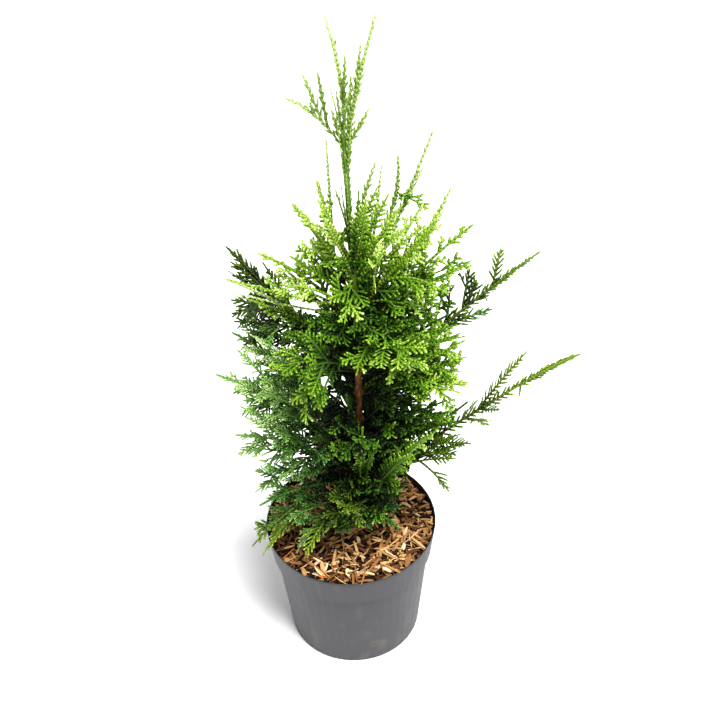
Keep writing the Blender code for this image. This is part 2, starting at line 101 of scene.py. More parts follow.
# Limbs, as the solids have them: the height where each leaves the trunk, its bearing, its
# reach, the height of its tip, the share of its reach at the middle of its bow, the lift of
# that, and its bare length at the trunk. `width` is how far its foliage stands out to each
# side, `tone` how light that is from 0 to 1, its own green together with painted light and
# shade for how lit the foliage stands, `hue` its family of greens, and `sag` how far its
# fronds hang.
Limb = namedtuple("Limb", "name start bearing reach tip bend arch bare width tone hue sag")
FRESH, BLUISH, OLIVE, LEADING = range(4)
LIMBS = (
    Limb("leader_left", 61.0, 180, 1.1, 73.2, -0.5, 0.0, 0, 0.8, 0.75, LEADING, 0),
    Limb("leader_right", 59.4, 0, 3.0, 73.1, 0.28, 0.0, 0, 0.8, 0.71, LEADING, 0),
    Limb("leader_side_spray", 60.4, 178, 4.6, 65.5, 0.45, 1.8, 0, 0.9, 0.69, LEADING, 0),
    Limb("crown_left_inner", 48.5, 161, 3.0, 56.8, 0.6, -0.4, 0, 1.5, 0.78, FRESH, 0),
    Limb("crown_right_inner", 50.0, 20, 2.5, 58.4, 0.45, 1.0, 0, 0.8, 0.6, LEADING, 0),
    Limb("crown_left", 45.0, 160, 5.4, 53.5, 0.5, 1.0, 0, 1.0, 0.76, FRESH, 0),
    Limb("crown_right", 46.5, 42, 5.7, 57.0, 1.1, -1.2, 0, 0.9, 0.58, LEADING, 0),
    Limb("crown_front", 45.0, -98, 7.0, 47.0, 0.45, 3.6, 0, 2.4, 0.68, FRESH, 0.1),
    Limb("crown_back", 43.5, 95, 6.0, 47.5, 0.45, 1.4, 0, 2.0, 0.5, FRESH, 0),
    Limb("crown_front_right", 42.0, -28, 7.8, 54.6, 0.45, 1.0, 0, 2.4, 0.72, FRESH, 0),
    Limb("crown_back_right", 42.5, 34, 8.9, 58.6, 0.45, -1.0, 2.0, 1.0, 0.62, LEADING, 0),
    Limb("upper_right", 38.5, 4, 10.6, 51.4, 0.38, 1.6, 2.2, 2.0, 0.64, FRESH, 0),
    Limb("upper_left", 41.0, 180, 8.3, 49.7, 0.45, 2.4, 1.5, 2.0, 0.78, FRESH, 0),
    Limb("long_right_upper", 32.5, 8, 16.9, 46.7, 0.67, 3.7, 4.0, 0.85, 0.52, OLIVE, 0),
    Limb("dark_left", 32.5, 157, 12.6, 46.9, 0.45, 0.8, 3.0, 1.1, 0.36, OLIVE, 0.3),
    Limb("thin_left", 36.0, -177, 11.6, 47.6, 0.45, 3.0, 2.5, 0.6, 0.7, LEADING, 0.1),
    Limb("front_right_middle", 38.0, -62, 10.2, 44.0, 0.45, 3.0, 1.5, 4.0, 0.6, FRESH, 0.2),
    Limb("front_left_middle", 35.0, -120, 9.4, 43.0, 0.45, 2.4, 1.5, 4.0, 0.48, FRESH, 0.15),
    Limb("right_middle", 30.0, -18, 9.8, 38.6, 0.45, 2.6, 2.5, 3.0, 0.60, FRESH, 0.2),
    Limb("left_middle", 29.0, 176, 11.4, 40.0, 0.45, 1.6, 2.5, 2.6, 0.62, BLUISH, 0.1),
    Limb("back_right_middle", 34.0, 55, 9.6, 45.0, 0.45, 0.6, 2.0, 3.2, 0.42, FRESH, 0),
    Limb("back_left_middle", 35.5, 120, 9.6, 44.6, 0.45, 0.8, 2.0, 2.8, 0.42, FRESH, 0),
    Limb("left_high_droop", 24.0, -169, 13.0, 37.8, 0.45, 2.8, 2.5, 2.4, 0.7, BLUISH, 0.35),
    Limb("left_droop", 21.0, -158, 12.2, 32.0, 0.45, 3.0, 2.0, 2.4, 0.68, BLUISH, 0.4),
    Limb("front_middle", 26.0, -88, 9.2, 34.6, 0.45, 2.0, 2.0, 2.4, 0.4, FRESH, 0.3),
    Limb("long_right_low", 19.5, -6, 20.7, 38.1, 0.83, 8.5, 4.5, 0.8, 0.58, OLIVE, 0.0),
    Limb("right_low", 17.9, -22, 10.8, 29.0, 0.45, 2.6, 3.0, 1.5, 0.4, BLUISH, 0.1),
    Limb("front_right_low", 16.2, -39, 9.8, 33.2, 0.45, 1.4, 1.5, 1.7, 0.74, FRESH, 0.1),
    Limb("front_low", 16.8, -100, 7.4, 23.6, 0.45, 2.6, 1.2, 2.4, 0.6, OLIVE, 0.2),
    Limb("front_left_low", 16.4, -140, 8.2, 16.6, 0.45, 3.4, 1.2, 2.2, 0.62, BLUISH, 0.1),
    Limb("left_low", 17.8, -158, 11.2, 17.4, 0.45, 5.4, 1.5, 2.2, 0.58, BLUISH, 0.1),
    Limb("back_left_low", 20.5, 136, 9.6, 30.4, 0.45, 1.6, 2.0, 3.2, 0.34, BLUISH, 0.1),
    Limb("back_right_low", 19.0, 62, 9.6, 29.4, 0.45, 1.6, 2.0, 3.2, 0.34, BLUISH, 0.1),
)
BOW_HEIGHT = 0.45                 # the height of a bow without lift, as a share of the rise
LIMB_ROLL = 14                    # how far, in degrees, its flat may turn from the light
BARE_TIP = 0.06                   # the share of a shoot's end that carries nothing
GROWTH_SEED = 11
LIMB_NUMBER = {limb.name: number for number, limb in enumerate(LIMBS)}

# Leading shoots that stand out of a limb's foliage. Each leaves its limb a share of the way
# along, or, where `start` is over 1, the trunk at that height. Its tip is a place in
# centimetres, or seen(x, y, depth), where the photograph shows it at a depth along Y.
# `lift` raises the middle of its bow. It has its limb's hue where its row gives none.
# Its `tone`, like a limb's, is its own green together with painted light and shade for how lit it
# stands.
Lead = namedtuple("Lead", "limb start tip lift width tone hue", defaults=[None])
LEAD_ROLL = 22
LEAD_TONE_SPREAD = 0.04
LEAD_SAG = 0.1
LEAD_BARE_TIP = 0.12
LEADS = (
    Lead("leader_left", 0.72, (0.6, 0.4, 70.4), 0.0, 0.5, 0.61),
    Lead("leader_right", 0.40, (2.7, 0.5, 70.1), 0.0, 0.5, 0.61),
    Lead("leader_left", 0.30, seen(345, 56, -0.6), 0.0, 0.5, 0.55),
    Lead("leader_right", 0.22, (1.8, 0.3, 67.3), 0.0, 0.5, 0.57),
    Lead("leader_left", 62.4, seen(349, 94, -1.2), 0.0, 0.5, 0.51),
    Lead("leader_right", 60.2, (3.2, -0.8, 64.9), -0.2, 0.8, 0.53),
    Lead("leader_side_spray", 0.38, (-2.1, 0.5, 67.6), 0.0, 0.6, 0.61),
    Lead("leader_side_spray", 0.30, (-0.9, 1.0, 67.3), 0.1, 0.5, 0.53),
    Lead("leader_side_spray", 61.2, (0.1, -1.0, 67.1), 0.2, 0.6, 0.53),
    Lead("leader_side_spray", 0.55, (-1.6, -1.0, 65.8), 0.0, 0.5, 0.53),
    Lead("crown_left", 0.34, (-0.5, 0.5, 61.1), -0.4, 0.5, 0.71, LEADING),
    Lead("crown_left_inner", 51.0, (0.1, 2.0, 54.8), 0.2, 0.8, 0.71, LEADING),
    Lead("crown_front_right", 0.16, seen(382, 164, 2.5), 0.0, 0.8, 0.75, LEADING),
    Lead("upper_right", 0.50, (10.2, 3.0, 53.8), 0.6, 1.2, 0.7, LEADING),
    Lead("crown_front_right", 0.50, seen(446, 208, 0.5), 0.6, 1.4, 0.85),
    Lead("crown_front_right", 0.25, (3.6, -4.2, 53.0), 1.0, 2.0, 0.84),
    Lead("crown_front_right", 0.40, (8.8, -4.6, 48.6), 1.6, 2.0, 0.69),
    Lead("upper_right", 0.45, (12.0, 0.5, 47.6), 0.6, 1.8, 0.57),
    Lead("upper_right", 0.32, (10.2, -2.4, 47.2), 0.8, 2.0, 0.59),
    Lead("crown_left", 46.0, (-3.5, -1.5, 56.1), 0.6, 0.9, 0.86),
    Lead("crown_left", 0.30, (-3.1, -3.0, 52.8), 0.6, 1.8, 0.84),
    Lead("crown_left", 42.5, (-3.8, -4.4, 49.6), 1.2, 2.0, 0.84),
    Lead("upper_left", 0.40, (-5.6, -3.2, 47.4), 0.8, 1.6, 0.78),
    Lead("thin_left", 0.40, (-9.8, -2.0, 47.0), 0.4, 0.6, 0.72),
    Lead("dark_left", 0.50, (-10.2, 4.2, 44.6), 0.4, 1.1, 0.34),
    Lead("dark_left", 0.62, seen(231, 318, 1.5), 1.2, 1.1, 0.36),
    Lead("dark_left", 0.50, seen(240, 350, 0.5), 1.4, 1.1, 0.36),
    Lead("left_high_droop", 0.42, (-8.4, -3.6, 35.8), 1.2, 1.8, 0.67),
    Lead("left_high_droop", 0.30, (-7.6, -5.0, 37.6), 1.6, 2.0, 0.71),
    Lead("left_droop", 0.40, (-8.0, -5.0, 29.6), 1.6, 1.6, 0.48),
    Lead("left_droop", 0.25, (-9.0, -5.4, 25.0), 1.8, 2.0, 0.58),
    Lead("front_left_low", 20.0, (-8.6, -5.6, 23.4), 2.4, 1.8, 0.49),
    Lead("left_low", 0.50, (-8.8, -6.4, 17.0), 1.0, 1.2, 0.57, OLIVE),
    Lead("front_left_low", 0.45, (-4.6, -7.0, 17.4), 1.0, 1.2, 0.59, OLIVE),
    Lead("right_middle", 0.40, (11.1, -3.0, 41.2), 0.8, 1.5, 0.73),
    Lead("right_middle", 0.32, (10.6, -5.4, 37.0), 1.2, 1.8, 0.73),
    Lead("right_low", 0.50, (10.2, -5.6, 28.7), 0.6, 1.3, 0.50, OLIVE),
    Lead("front_right_middle", 0.40, (7.2, -6.8, 41.0), 1.6, 2.2, 0.73),
    Lead("front_right_middle", 0.30, (1.2, -8.6, 42.6), 1.6, 2.2, 0.60),
    Lead("front_left_middle", 0.35, (-6.6, -6.2, 41.4), 1.4, 2.2, 0.71),
    Lead("crown_front", 43.0, (1.2, -6.5, 45.2), 1.6, 1.8, 0.58),
    Lead("crown_front", 42.0, (3.2, -7.0, 44.4), 1.8, 1.8, 0.56),
    Lead("front_right_middle", 41.0, (5.5, -7.0, 43.6), 2.0, 2.0, 0.60),
    Lead("front_right_middle", 42.0, (7.6, -6.0, 43.7), 2.2, 2.0, 0.57),
    Lead("front_left_middle", 41.5, (-0.6, -6.5, 44.1), 1.8, 1.8, 0.52),
    Lead("front_left_middle", 42.0, (-2.2, -6.0, 44.1), 1.6, 1.6, 0.55),
    Lead("front_low", 17.0, (3.6, -4.6, 19.6), 1.0, 1.4, 0.78, FRESH),
    Lead("front_low", 16.6, (4.8, -4.0, 17.2), 1.2, 1.2, 0.58, BLUISH),
    Lead("front_low", 17.4, (-0.6, -5.0, 19.4), 1.0, 1.5, 0.72, FRESH),
    Lead("crown_front_right", 0.30, seen(423, 205, -0.5), 0.8, 1.4, 0.81),
    Lead("crown_front_right", 0.20, seen(395, 215, -1.5), 0.8, 1.6, 0.73),
    Lead("crown_right_inner", 47.0, seen(366, 218, -1.5), 0.6, 1.5, 0.73, FRESH),
    Lead("right_low", 0.60, (9.6, -6.4, 25.0), 1.0, 1.0, 0.52, OLIVE),
    Lead("right_low", 0.20, seen(468, 402, -1.5), 0.8, 1.8, 0.50, FRESH),
    Lead("right_low", 26.0, seen(447, 400, -3.0), 0.4, 1.8, 0.52, FRESH),
    Lead("front_right_low", 27.0, seen(427, 408, -4.0), 0.6, 1.8, 0.50),
    Lead("right_middle", 0.35, (10.8, -4.0, 36.6), 1.2, 1.8, 0.63),
    Lead("thin_left", 0.70, seen(246, 322, -0.5), 0.8, 1.3, 0.34, OLIVE),
    Lead("thin_left", 0.45, seen(262, 345, -2.0), 1.2, 1.8, 0.57, BLUISH),
    Lead("left_middle", 0.40, seen(252, 372, -3.0), 1.4, 1.9, 0.61),
    Lead("front_left_middle", 0.55, seen(300, 420, -6.4), 1.6, 2.4, 0.72),
    Lead("leader_right", 55.5, (1.5, 0.4, 64.6), 0.1, 0.6, 0.55),
    Lead("leader_right", 57.0, (1.7, -0.4, 63.2), 0.1, 0.6, 0.61),
    Lead("leader_left", 54.0, (0.5, -0.5, 64.0), 0.1, 0.6, 0.55),
    Lead("leader_left", 49.0, (1.1, -1.0, 58.6), -0.2, 0.6, 0.45),
    Lead("leader_right", 47.0, (1.3, 1.0, 59.0), -0.2, 0.6, 0.45),
    Lead("crown_back_right", 0.60, (7.9, 5.0, 54.8), 0.0, 0.8, 0.77),
    Lead("crown_right", 0.62, (7.1, 3.0, 53.7), 0.2, 1.2, 0.77, FRESH),
    Lead("crown_front_right", 43.5, (7.5, -4.0, 45.6), 1.6, 2.4, 0.65),
    Lead("upper_right", 42.0, (9.1, -2.0, 42.7), 1.6, 2.2, 0.55),
    Lead("crown_front_right", 42.5, (8.0, -3.0, 46.6), 1.4, 2.2, 0.69),
    Lead("thin_left", 0.60, (-9.8, 2.0, 39.3), 1.6, 1.1, 0.32, OLIVE),
    Lead("thin_left", 0.52, (-9.5, 0.0, 38.3), 1.8, 1.1, 0.34, OLIVE),
    Lead("left_low", 0.30, (-9.8, -6.0, 17.9), 2.6, 1.4, 0.53, OLIVE),
    Lead("long_right_low", 0.4, (16.9, -2.0, 38.7), 0.4, 1.0, 0.60),
    Lead("long_right_low", 0.60, (16.2, -3.5, 34.5), -0.2, 0.75, 0.60),
    Lead("long_right_low", 0.42, (14.4, -4.0, 33.4), -0.2, 0.8, 0.56),
    Lead("long_right_low", 0.36, (13.3, -5.0, 32.3), 0.3, 1.1, 0.50),
    Lead("long_right_low", 0.20, (11.6, -6.0, 31.0), 0.6, 1.1, 0.46),
    Lead("long_right_low", 0.34, (12.4, -3.0, 33.7), 0.4, 1.0, 0.66, BLUISH),
    Lead("long_right_low", 0.70, (18.4, -3.0, 36.4), 0.3, 0.6, 0.62),
    Lead("long_right_upper", 0.68, (14.7, 2.5, 47.2), 0.2, 0.85, 0.58),
    Lead("long_right_upper", 0.50, (11.9, 2.5, 44.9), 0.3, 1.2, 0.34),
    Lead("long_right_upper", 0.42, (10.2, 3.0, 42.6), 0.2, 1.1, 0.34),
    Lead("long_right_upper", 0.60, (14.0, 0.5, 43.8), 0.3, 1.0, 0.62, BLUISH),
    Lead("long_right_upper", 0.46, (11.6, 0.5, 40.9), 0.2, 1.0, 0.40),
    Lead("front_right_low", 17.5, (7.3, -6.5, 32.7), 0.8, 1.2, 0.74),
    Lead("front_right_low", 0.30, (6.1, -6.8, 30.7), 1.0, 1.2, 0.74),
    Lead("crown_right_inner", 49.5, (3.7, 0.0, 56.4), 0.2, 1.0, 0.77, FRESH),
    Lead("crown_right_inner", 48.5, (2.7, -2.0, 56.6), 0.4, 1.1, 0.77, FRESH),
    Lead("crown_right_inner", 47.5, (4.6, -1.0, 56.3), 0.6, 1.1, 0.83, FRESH),
    Lead("crown_front_right", 46.5, (5.7, -2.0, 55.9), 0.8, 1.2, 0.85),
    Lead("crown_front_right", 45.5, (6.5, -3.0, 54.8), 1.0, 1.3, 0.85),
    Lead("crown_front_right", 45.0, (7.7, -2.0, 53.6), 1.0, 1.3, 0.83),
    Lead("crown_front_right", 0.40, (8.8, 0.0, 52.2), 0.6, 1.2, 0.77),
    Lead("front_middle", 19.5, seen(363, 427, -6.8), -1.0, 0.8, 0.90),
    Lead("front_middle", 20.5, (3.0, -6.8, 32.8), -0.8, 0.8, 0.90),
    Lead("front_middle", 22.0, (-0.2, -4.2, 30.2), -0.6, 1.2, 0.59),
    Lead("front_middle", 24.5, (1.2, -5.0, 33.6), -0.4, 1.3, 0.69),
    Lead("front_middle", 21.0, (0.5, -4.0, 26.8), -0.2, 1.2, 0.57),
    Lead("front_low", 18.0, (-1.0, -4.6, 25.2), 0.4, 1.2, 0.55),
    Lead("front_low", 17.5, (3.2, -4.0, 24.0), 0.4, 1.2, 0.59),
    Lead("front_left_middle", 0.40, (-5.1, -3.0, 41.0), 0.8, 1.9, 0.55),
    Lead("front_left_middle", 39.0, (-4.2, -4.0, 43.0), 1.0, 1.8, 0.5),
    Lead("left_high_droop", 0.50, (-7.5, -4.0, 38.6), 0.8, 1.7, 0.73),
    Lead("left_high_droop", 0.40, (-7.0, -6.0, 35.2), 1.2, 1.7, 0.77),
    Lead("left_droop", 0.40, (-6.5, -6.0, 33.6), 1.0, 1.7, 0.64),
    Lead("left_droop", 0.30, (-3.3, -7.0, 32.1), 0.8, 1.6, 0.49),
    Lead("left_droop", 0.35, (-6.5, -7.0, 28.0), 1.4, 1.6, 0.60),
    Lead("crown_left_inner", 48.0, (-1.4, -2.0, 56.8), 0.3, 1.2, 0.85),
    Lead("crown_left_inner", 46.5, (-1.1, -3.0, 55.9), 0.4, 1.2, 0.81),
    Lead("crown_left_inner", 0.35, (-2.1, -3.0, 54.6), 0.2, 1.2, 0.85),
    Lead("leader_left", 60.4, (0.6, 0.3, 65.9), 0.0, 0.6, 0.63),
    Lead("leader_left", 60.0, (0.1, 0.3, 64.2), 0.0, 0.6, 0.61),
    Lead("right_middle", 33.0, (10.9, -1.0, 40.4), 0.9, 1.8, 0.69),
    Lead("right_middle", 35.0, (9.9, 0.0, 41.8), 0.8, 1.8, 0.57),
    Lead("right_middle", 36.5, (9.0, 0.0, 43.2), 0.8, 1.8, 0.53),
    Lead("long_right_upper", 0.34, (9.6, 1.0, 44.0), 0.6, 1.5, 0.41, FRESH),
    Lead("right_middle", 37.0, (7.6, -3.0, 42.2), 1.0, 1.8, 0.57),
    Lead("long_right_upper", 0.62, (13.5, 2.0, 41.6), 0.3, 0.9, 0.46),
    Lead("right_low", 25.0, (9.9, -3.0, 32.4), 1.0, 1.5, 0.54, FRESH),
    Lead("right_low", 24.0, (6.2, -4.0, 31.2), 1.0, 1.5, 0.53, FRESH),
    Lead("dark_left", 0.70, (-9.9, 4.0, 47.4), 0.2, 1.1, 0.36),
    Lead("dark_left", 0.60, (-9.6, 3.6, 46.0), 0.4, 1.2, 0.36),
    Lead("left_droop", 0.45, (-9.5, -5.0, 36.1), 0.8, 1.3, 0.79),
    Lead("left_droop", 0.50, (-9.1, -5.2, 34.8), 0.8, 1.3, 0.71),
    Lead("left_high_droop", 0.55, (-9.4, -3.0, 41.2), 0.8, 1.3, 0.69),
    Lead("thin_left", 38.0, (-5.6, -2.0, 42.0), 0.8, 1.5, 0.59, FRESH),
    Lead("right_middle", 35.0, (11.3, -2.0, 40.9), 0.8, 1.4, 0.69),
    Lead("upper_right", 0.30, (10.9, 0.5, 46.6), 0.6, 1.3, 0.63),
    Lead("long_right_upper", 0.52, (12.5, 2.0, 44.0), 0.4, 1.0, 0.40),
    Lead("crown_right", 0.70, (8.2, 1.5, 52.7), 0.2, 1.0, 0.77, FRESH),
    Lead("right_low", 0.40, (10.8, -4.0, 30.4), 0.8, 1.2, 0.50, OLIVE),
    Lead("long_right_upper", 0.38, (13.9, 0.5, 41.8), 0.2, 1.0, 0.46, BLUISH),
    Lead("crown_left_inner", 47.0, seen(317, 190, -1.0), 0.2, 1.3, 0.77),
    Lead("crown_left", 43.5, seen(290, 256, -2.0), 0.6, 1.3, 0.84),
    Lead("front_left_middle", 41.0, seen(304, 324, -2.0), 0.8, 1.4, 0.61),
    Lead("upper_left", 0.20, seen(280, 284, -2.0), 0.6, 1.3, 0.84),
    Lead("upper_left", 41.0, seen(312, 320, 0.0), 0.5, 1.3, 0.67),
    Lead("upper_right", 41.0, (11.4, -1.0, 48.4), 0.8, 1.5, 0.63),
    Lead("right_middle", 36.0, (11.0, -1.0, 41.5), 1.0, 1.5, 0.69),
    Lead("right_middle", 34.5, seen(458, 336, -3.0), 1.0, 1.5, 0.63),
    Lead("right_middle", 0.50, seen(468, 357, -2.0), 1.0, 1.5, 0.69),
    Lead("right_middle", 0.30, seen(467, 382, -4.0), 1.0, 1.4, 0.69),
    Lead("crown_left_inner", 47.0, seen(341, 186, -0.8), 0.0, 0.9, 0.55),
    Lead("crown_right_inner", 46.0, seen(359, 190, -1.2), 0.0, 0.9, 0.55, FRESH),
    Lead("front_low", 19.5, seen(360, 470, -4.0), 0.2, 1.4, 0.79, FRESH),
    Lead("front_low", 18.5, seen(350, 484, -5.0), 0.4, 1.4, 0.71),
    Lead("front_low", 18.0, seen(366, 492, -5.0), 0.4, 1.4, 0.71, FRESH),
    Lead("front_low", 17.5, seen(360, 506, -5.2), 0.8, 1.3, 0.65),
    Lead("dark_left", 0.66, seen(230, 262, 3.5), 0.2, 1.2, 0.40),
    Lead("dark_left", 0.56, seen(231, 300, 2.0), 0.4, 1.2, 0.34),
    Lead("dark_left", 0.44, seen(234, 322, 1.5), 0.6, 1.2, 0.32),
    Lead("dark_left", 0.36, seen(244, 338, 1.5), 0.6, 1.2, 0.32),
    Lead("dark_left", 0.40, seen(262, 262, 3.5), 0.0, 1.1, 0.40),
    Lead("dark_left", 0.30, seen(290, 306, 2.0), 0.0, 1.1, 0.36),
    Lead("thin_left", 0.50, seen(262, 274, -1.0), 0.3, 0.9, 0.74, FRESH),
    Lead("thin_left", 0.35, seen(250, 300, -2.0), 0.3, 1.0, 0.70, FRESH),
    Lead("left_middle", 0.45, seen(250, 334, -3.0), 0.6, 1.3, 0.79),
    Lead("left_middle", 0.55, seen(240, 348, -3.0), 0.6, 1.2, 0.79),
    Lead("left_middle", 0.30, seen(266, 356, -4.0), 0.8, 1.3, 0.75),
    Lead("left_high_droop", 0.62, (-10.1, -4.0, 37.5), 0.6, 1.3, 0.81),
    Lead("front_left_middle", 41.0, seen(324, 316, -2.5), 0.8, 1.5, 0.59),
    Lead("front_left_middle", 40.0, seen(336, 334, -4.0), 1.0, 1.5, 0.50),
    Lead("front_left_middle", 38.5, seen(322, 354, -5.0), 1.0, 1.6, 0.55),
    Lead("front_left_middle", 37.0, seen(338, 364, -5.0), 1.0, 1.5, 0.48),
    Lead("front_left_middle", 35.0, seen(318, 376, -5.5), 1.0, 1.5, 0.49),
    Lead("crown_front", 42.5, seen(346, 308, -4.0), 1.0, 1.4, 0.68),
    Lead("front_middle", 28.0, seen(345, 398, -4.5), 0.4, 1.4, 0.57),
    Lead("front_middle", 26.0, seen(334, 418, -5.0), 0.2, 1.4, 0.63),
    Lead("front_middle", 25.0, seen(306, 438, -6.0), 0.2, 1.4, 0.47, OLIVE),
    Lead("front_middle", 23.5, seen(328, 446, -5.5), 0.2, 1.4, 0.65),
    Lead("front_middle", 28.0, seen(386, 402, -4.0), 0.2, 1.4, 0.55),
    Lead("front_middle", 26.0, seen(398, 424, -4.5), 0.2, 1.4, 0.71),
    Lead("front_middle", 23.0, seen(392, 450, -4.5), 0.2, 1.3, 0.77),
    Lead("upper_left", 43.0, seen(227, 279, -3.0), -0.6, 0.6, 0.72),
    Lead("upper_left", 42.2, seen(230, 291, -3.5), -0.7, 0.6, 0.70, LEADING),
    Lead("left_droop", 0.60, (-9.0, -5.0, 30.1), 0.6, 1.6, 0.60),
    Lead("left_droop", 0.50, seen(262, 470, -6.0), 1.0, 1.6, 0.56),
    Lead("left_droop", 0.45, seen(272, 448, -6.5), 0.8, 1.5, 0.54),
    Lead("left_high_droop", 0.55, (-9.0, -4.5, 35.1), 0.8, 1.6, 0.67),
    Lead("right_middle", 0.45, seen(462, 372, -3.0), 0.8, 1.6, 0.64),
    Lead("right_middle", 36.0, (9.7, -2.0, 39.3), 0.6, 1.6, 0.60),
    Lead("right_middle", 37.0, (9.6, -1.0, 40.8), 0.6, 1.5, 0.62),
    Lead("right_low", 25.0, seen(452, 422, -3.0), 0.6, 1.5, 0.54, FRESH),
    Lead("right_low", 27.0, seen(440, 412, -2.0), 0.4, 1.5, 0.50, FRESH),
    Lead("right_middle", 35.0, seen(436, 342, -2.0), 0.6, 1.6, 0.56),
    Lead("right_middle", 33.0, seen(440, 368, -3.0), 0.6, 1.6, 0.56),
    Lead("left_middle", 33.0, seen(258, 352, -2.0), 0.8, 1.6, 0.63),
    Lead("left_middle", 35.0, seen(252, 326, 0.5), 0.6, 1.5, 0.59),
    Lead("front_low", 16.8, seen(372, 530, -5.0), 0.8, 1.2, 0.56, BLUISH),
    Lead("front_low", 17.0, seen(404, 508, -4.0), 0.6, 1.2, 0.52, BLUISH),
    Lead("front_left_low", 17.5, seen(322, 536, -6.0), 1.0, 1.4, 0.58),
    Lead("front_left_low", 18.0, seen(280, 524, -6.0), 1.4, 1.4, 0.56),
    Lead("right_middle", 36.5, seen(440, 312, 0.5), 0.6, 1.5, 0.58),
    Lead("right_middle", 0.60, seen(452, 388, -2.0), 0.6, 1.4, 0.60),
    Lead("right_low", 28.0, seen(420, 392, -1.0), 0.4, 1.6, 0.46, FRESH),
)

# Side boughs that the rule sets on each limb: their spacing low and high in the crown, their
# lean from the limb, and how far they turn up by height. Inner shoots fill the shade.
SIDE_BOUGH_SPACING = (2.2 * CM, 6.5 * CM)
SPACING_HEIGHTS = (0.34, 0.48)
SIDE_BOUGH_FROM, SIDE_BOUGH_SPAN = 0.14, 0.66    # shares of the shoot that carries them
SIDE_BOUGH_LEAN = (32, 56)
SIDE_BOUGH_ROLL = 13
SIDE_BOUGH_VIGOUR = (0.7, 1.05)
SIDE_BOUGH_TONE_SPREAD = 0.07
FORKING_REACH = 3.6 * CM          # a side bough shorter than this is a plain feather
FEATHER_WIDTH = 0.85 * CM
FROND_BEARING_WIDTH = 1.4 * CM
GOLDEN_TURN = 2.4
GOLDEN_SHARE = 0.618
TROPISM_HEIGHTS = (0.30, 0.42, 0.52)
TROPISM = (0.0, 0.15, 0.80)
BACK_SHOOTS = 84
BACK_HEIGHTS = (16.5 * CM, 47.0 * CM)
BACK_BEARINGS = (28, 152)
BACK_REACH = (7.0 * CM, 4.6 * CM)
BACK_VIGOUR = (0.8, 1.05)
BACK_RISE = (0.25, 1.1)
BACK_TONE = 0.64
BACK_ROLL = 25
BACK_WIDTH = (1.8, 2.8)           # in centimetres
BACK_FRESH_FROM = 30.0 * CM
FILLER_SAG = 0.1
INNER_SHOOTS = 120
INNER_HEIGHTS = (16.0 * CM, 45.0 * CM)
INNER_REACH = (3.0 * CM, 6.0 * CM)
INNER_TONE = 0.24
INNER_ROLL = (-50, 50)
INNER_WIDTH = 1.5 * CM
INNER_RISE = (0.2, 0.9)
INNER_BARE = 0.05
FLOOR_OF_FOLIAGE = 15.0 * CM

# Shade inside the crown: its radius by height, and how much tone is lost towards the trunk
CROWN_HEIGHTS = (0.15, 0.30, 0.45, 0.55, 0.62)
CROWN_RADII = (0.085, 0.110, 0.090, 0.060, 0.030)
SHADE = 0.72
SHADE_ALOFT = 0.30                # what is left of it at the top of the crown
SHADE_FADES = (0.40, 0.52)
SHADE_FROM = 0.72

# Gaps where the photograph shows sky, or bare mulch, through the crown: the middle of each and
# its half width and height, in pixels of the photograph. The rule sets no spray across them.
Gap = namedtuple("Gap", "x y across down")
GAPS = (
    Gap(338, 215, 7, 13), Gap(342, 248, 8, 8), Gap(358, 233, 4, 7), Gap(311, 308, 5, 6),
    Gap(293, 306, 7, 4),
    Gap(320, 291, 8, 9), Gap(278, 250, 9, 10), Gap(298, 289, 7, 4), Gap(449, 247, 6, 6),
    Gap(441, 273, 5, 7), Gap(460, 296, 5, 12), Gap(420, 190, 8, 6), Gap(458, 394, 8, 6),
    Gap(424, 472, 14, 16), Gap(444, 344, 4, 5), Gap(417, 213, 4, 5), Gap(345, 280, 4, 6),
    Gap(268, 302, 5, 5), Gap(256, 370, 8, 5), Gap(310, 232, 4, 6), Gap(521, 391, 8, 5),
    Gap(360, 378, 4, 9), Gap(359, 410, 4, 8), Gap(333, 392, 4, 5), Gap(341, 379, 4, 4),
    Gap(323, 380, 4, 5), Gap(343, 403, 4, 5), Gap(372, 387, 4, 5), Gap(386, 394, 4, 5),
    Gap(268, 454, 8, 4), Gap(377, 231, 5, 4), Gap(377, 271, 4, 6), Gap(389, 245, 4, 6),
    Gap(404, 252, 6, 3), Gap(389, 284, 3, 3), Gap(412, 238, 4, 4),
)
BOX_MARGIN = 9.0 * MM             # how far a shoot may pass the box of the CAD

# Scale leaves, each a flat-bottomed scale that starts under the one before
LEAF_START = -0.25
LEAF_WIDEST = 0.72
LEAF_END = 1.22
LEAF_RIDGE = 0.55

# How each family grows: the lean of its shoots at their parent's foot and tip, the spacing
# of its fronds and of its branchlets, the most that a branchlet grows, its width, and how
# long a branchlet has to be to carry side tips (mm)
Style = namedtuple("Style", "lean_foot lean_tip frond_gap gap longest wide tips_from")
STYLES = Style(*np.array([
    (47, 36, 13.0, 3.30, 12.5, 2.8, 13.0),
    (33, 25, 11.5, 3.00, 17.5, 1.9, 17.0),
    (40, 30, 12.0, 2.90, 15.5, 2.3, 15.0),
    (26, 18, 9.0, 3.90, 9.0, 2.1, 20.0),
]).T)

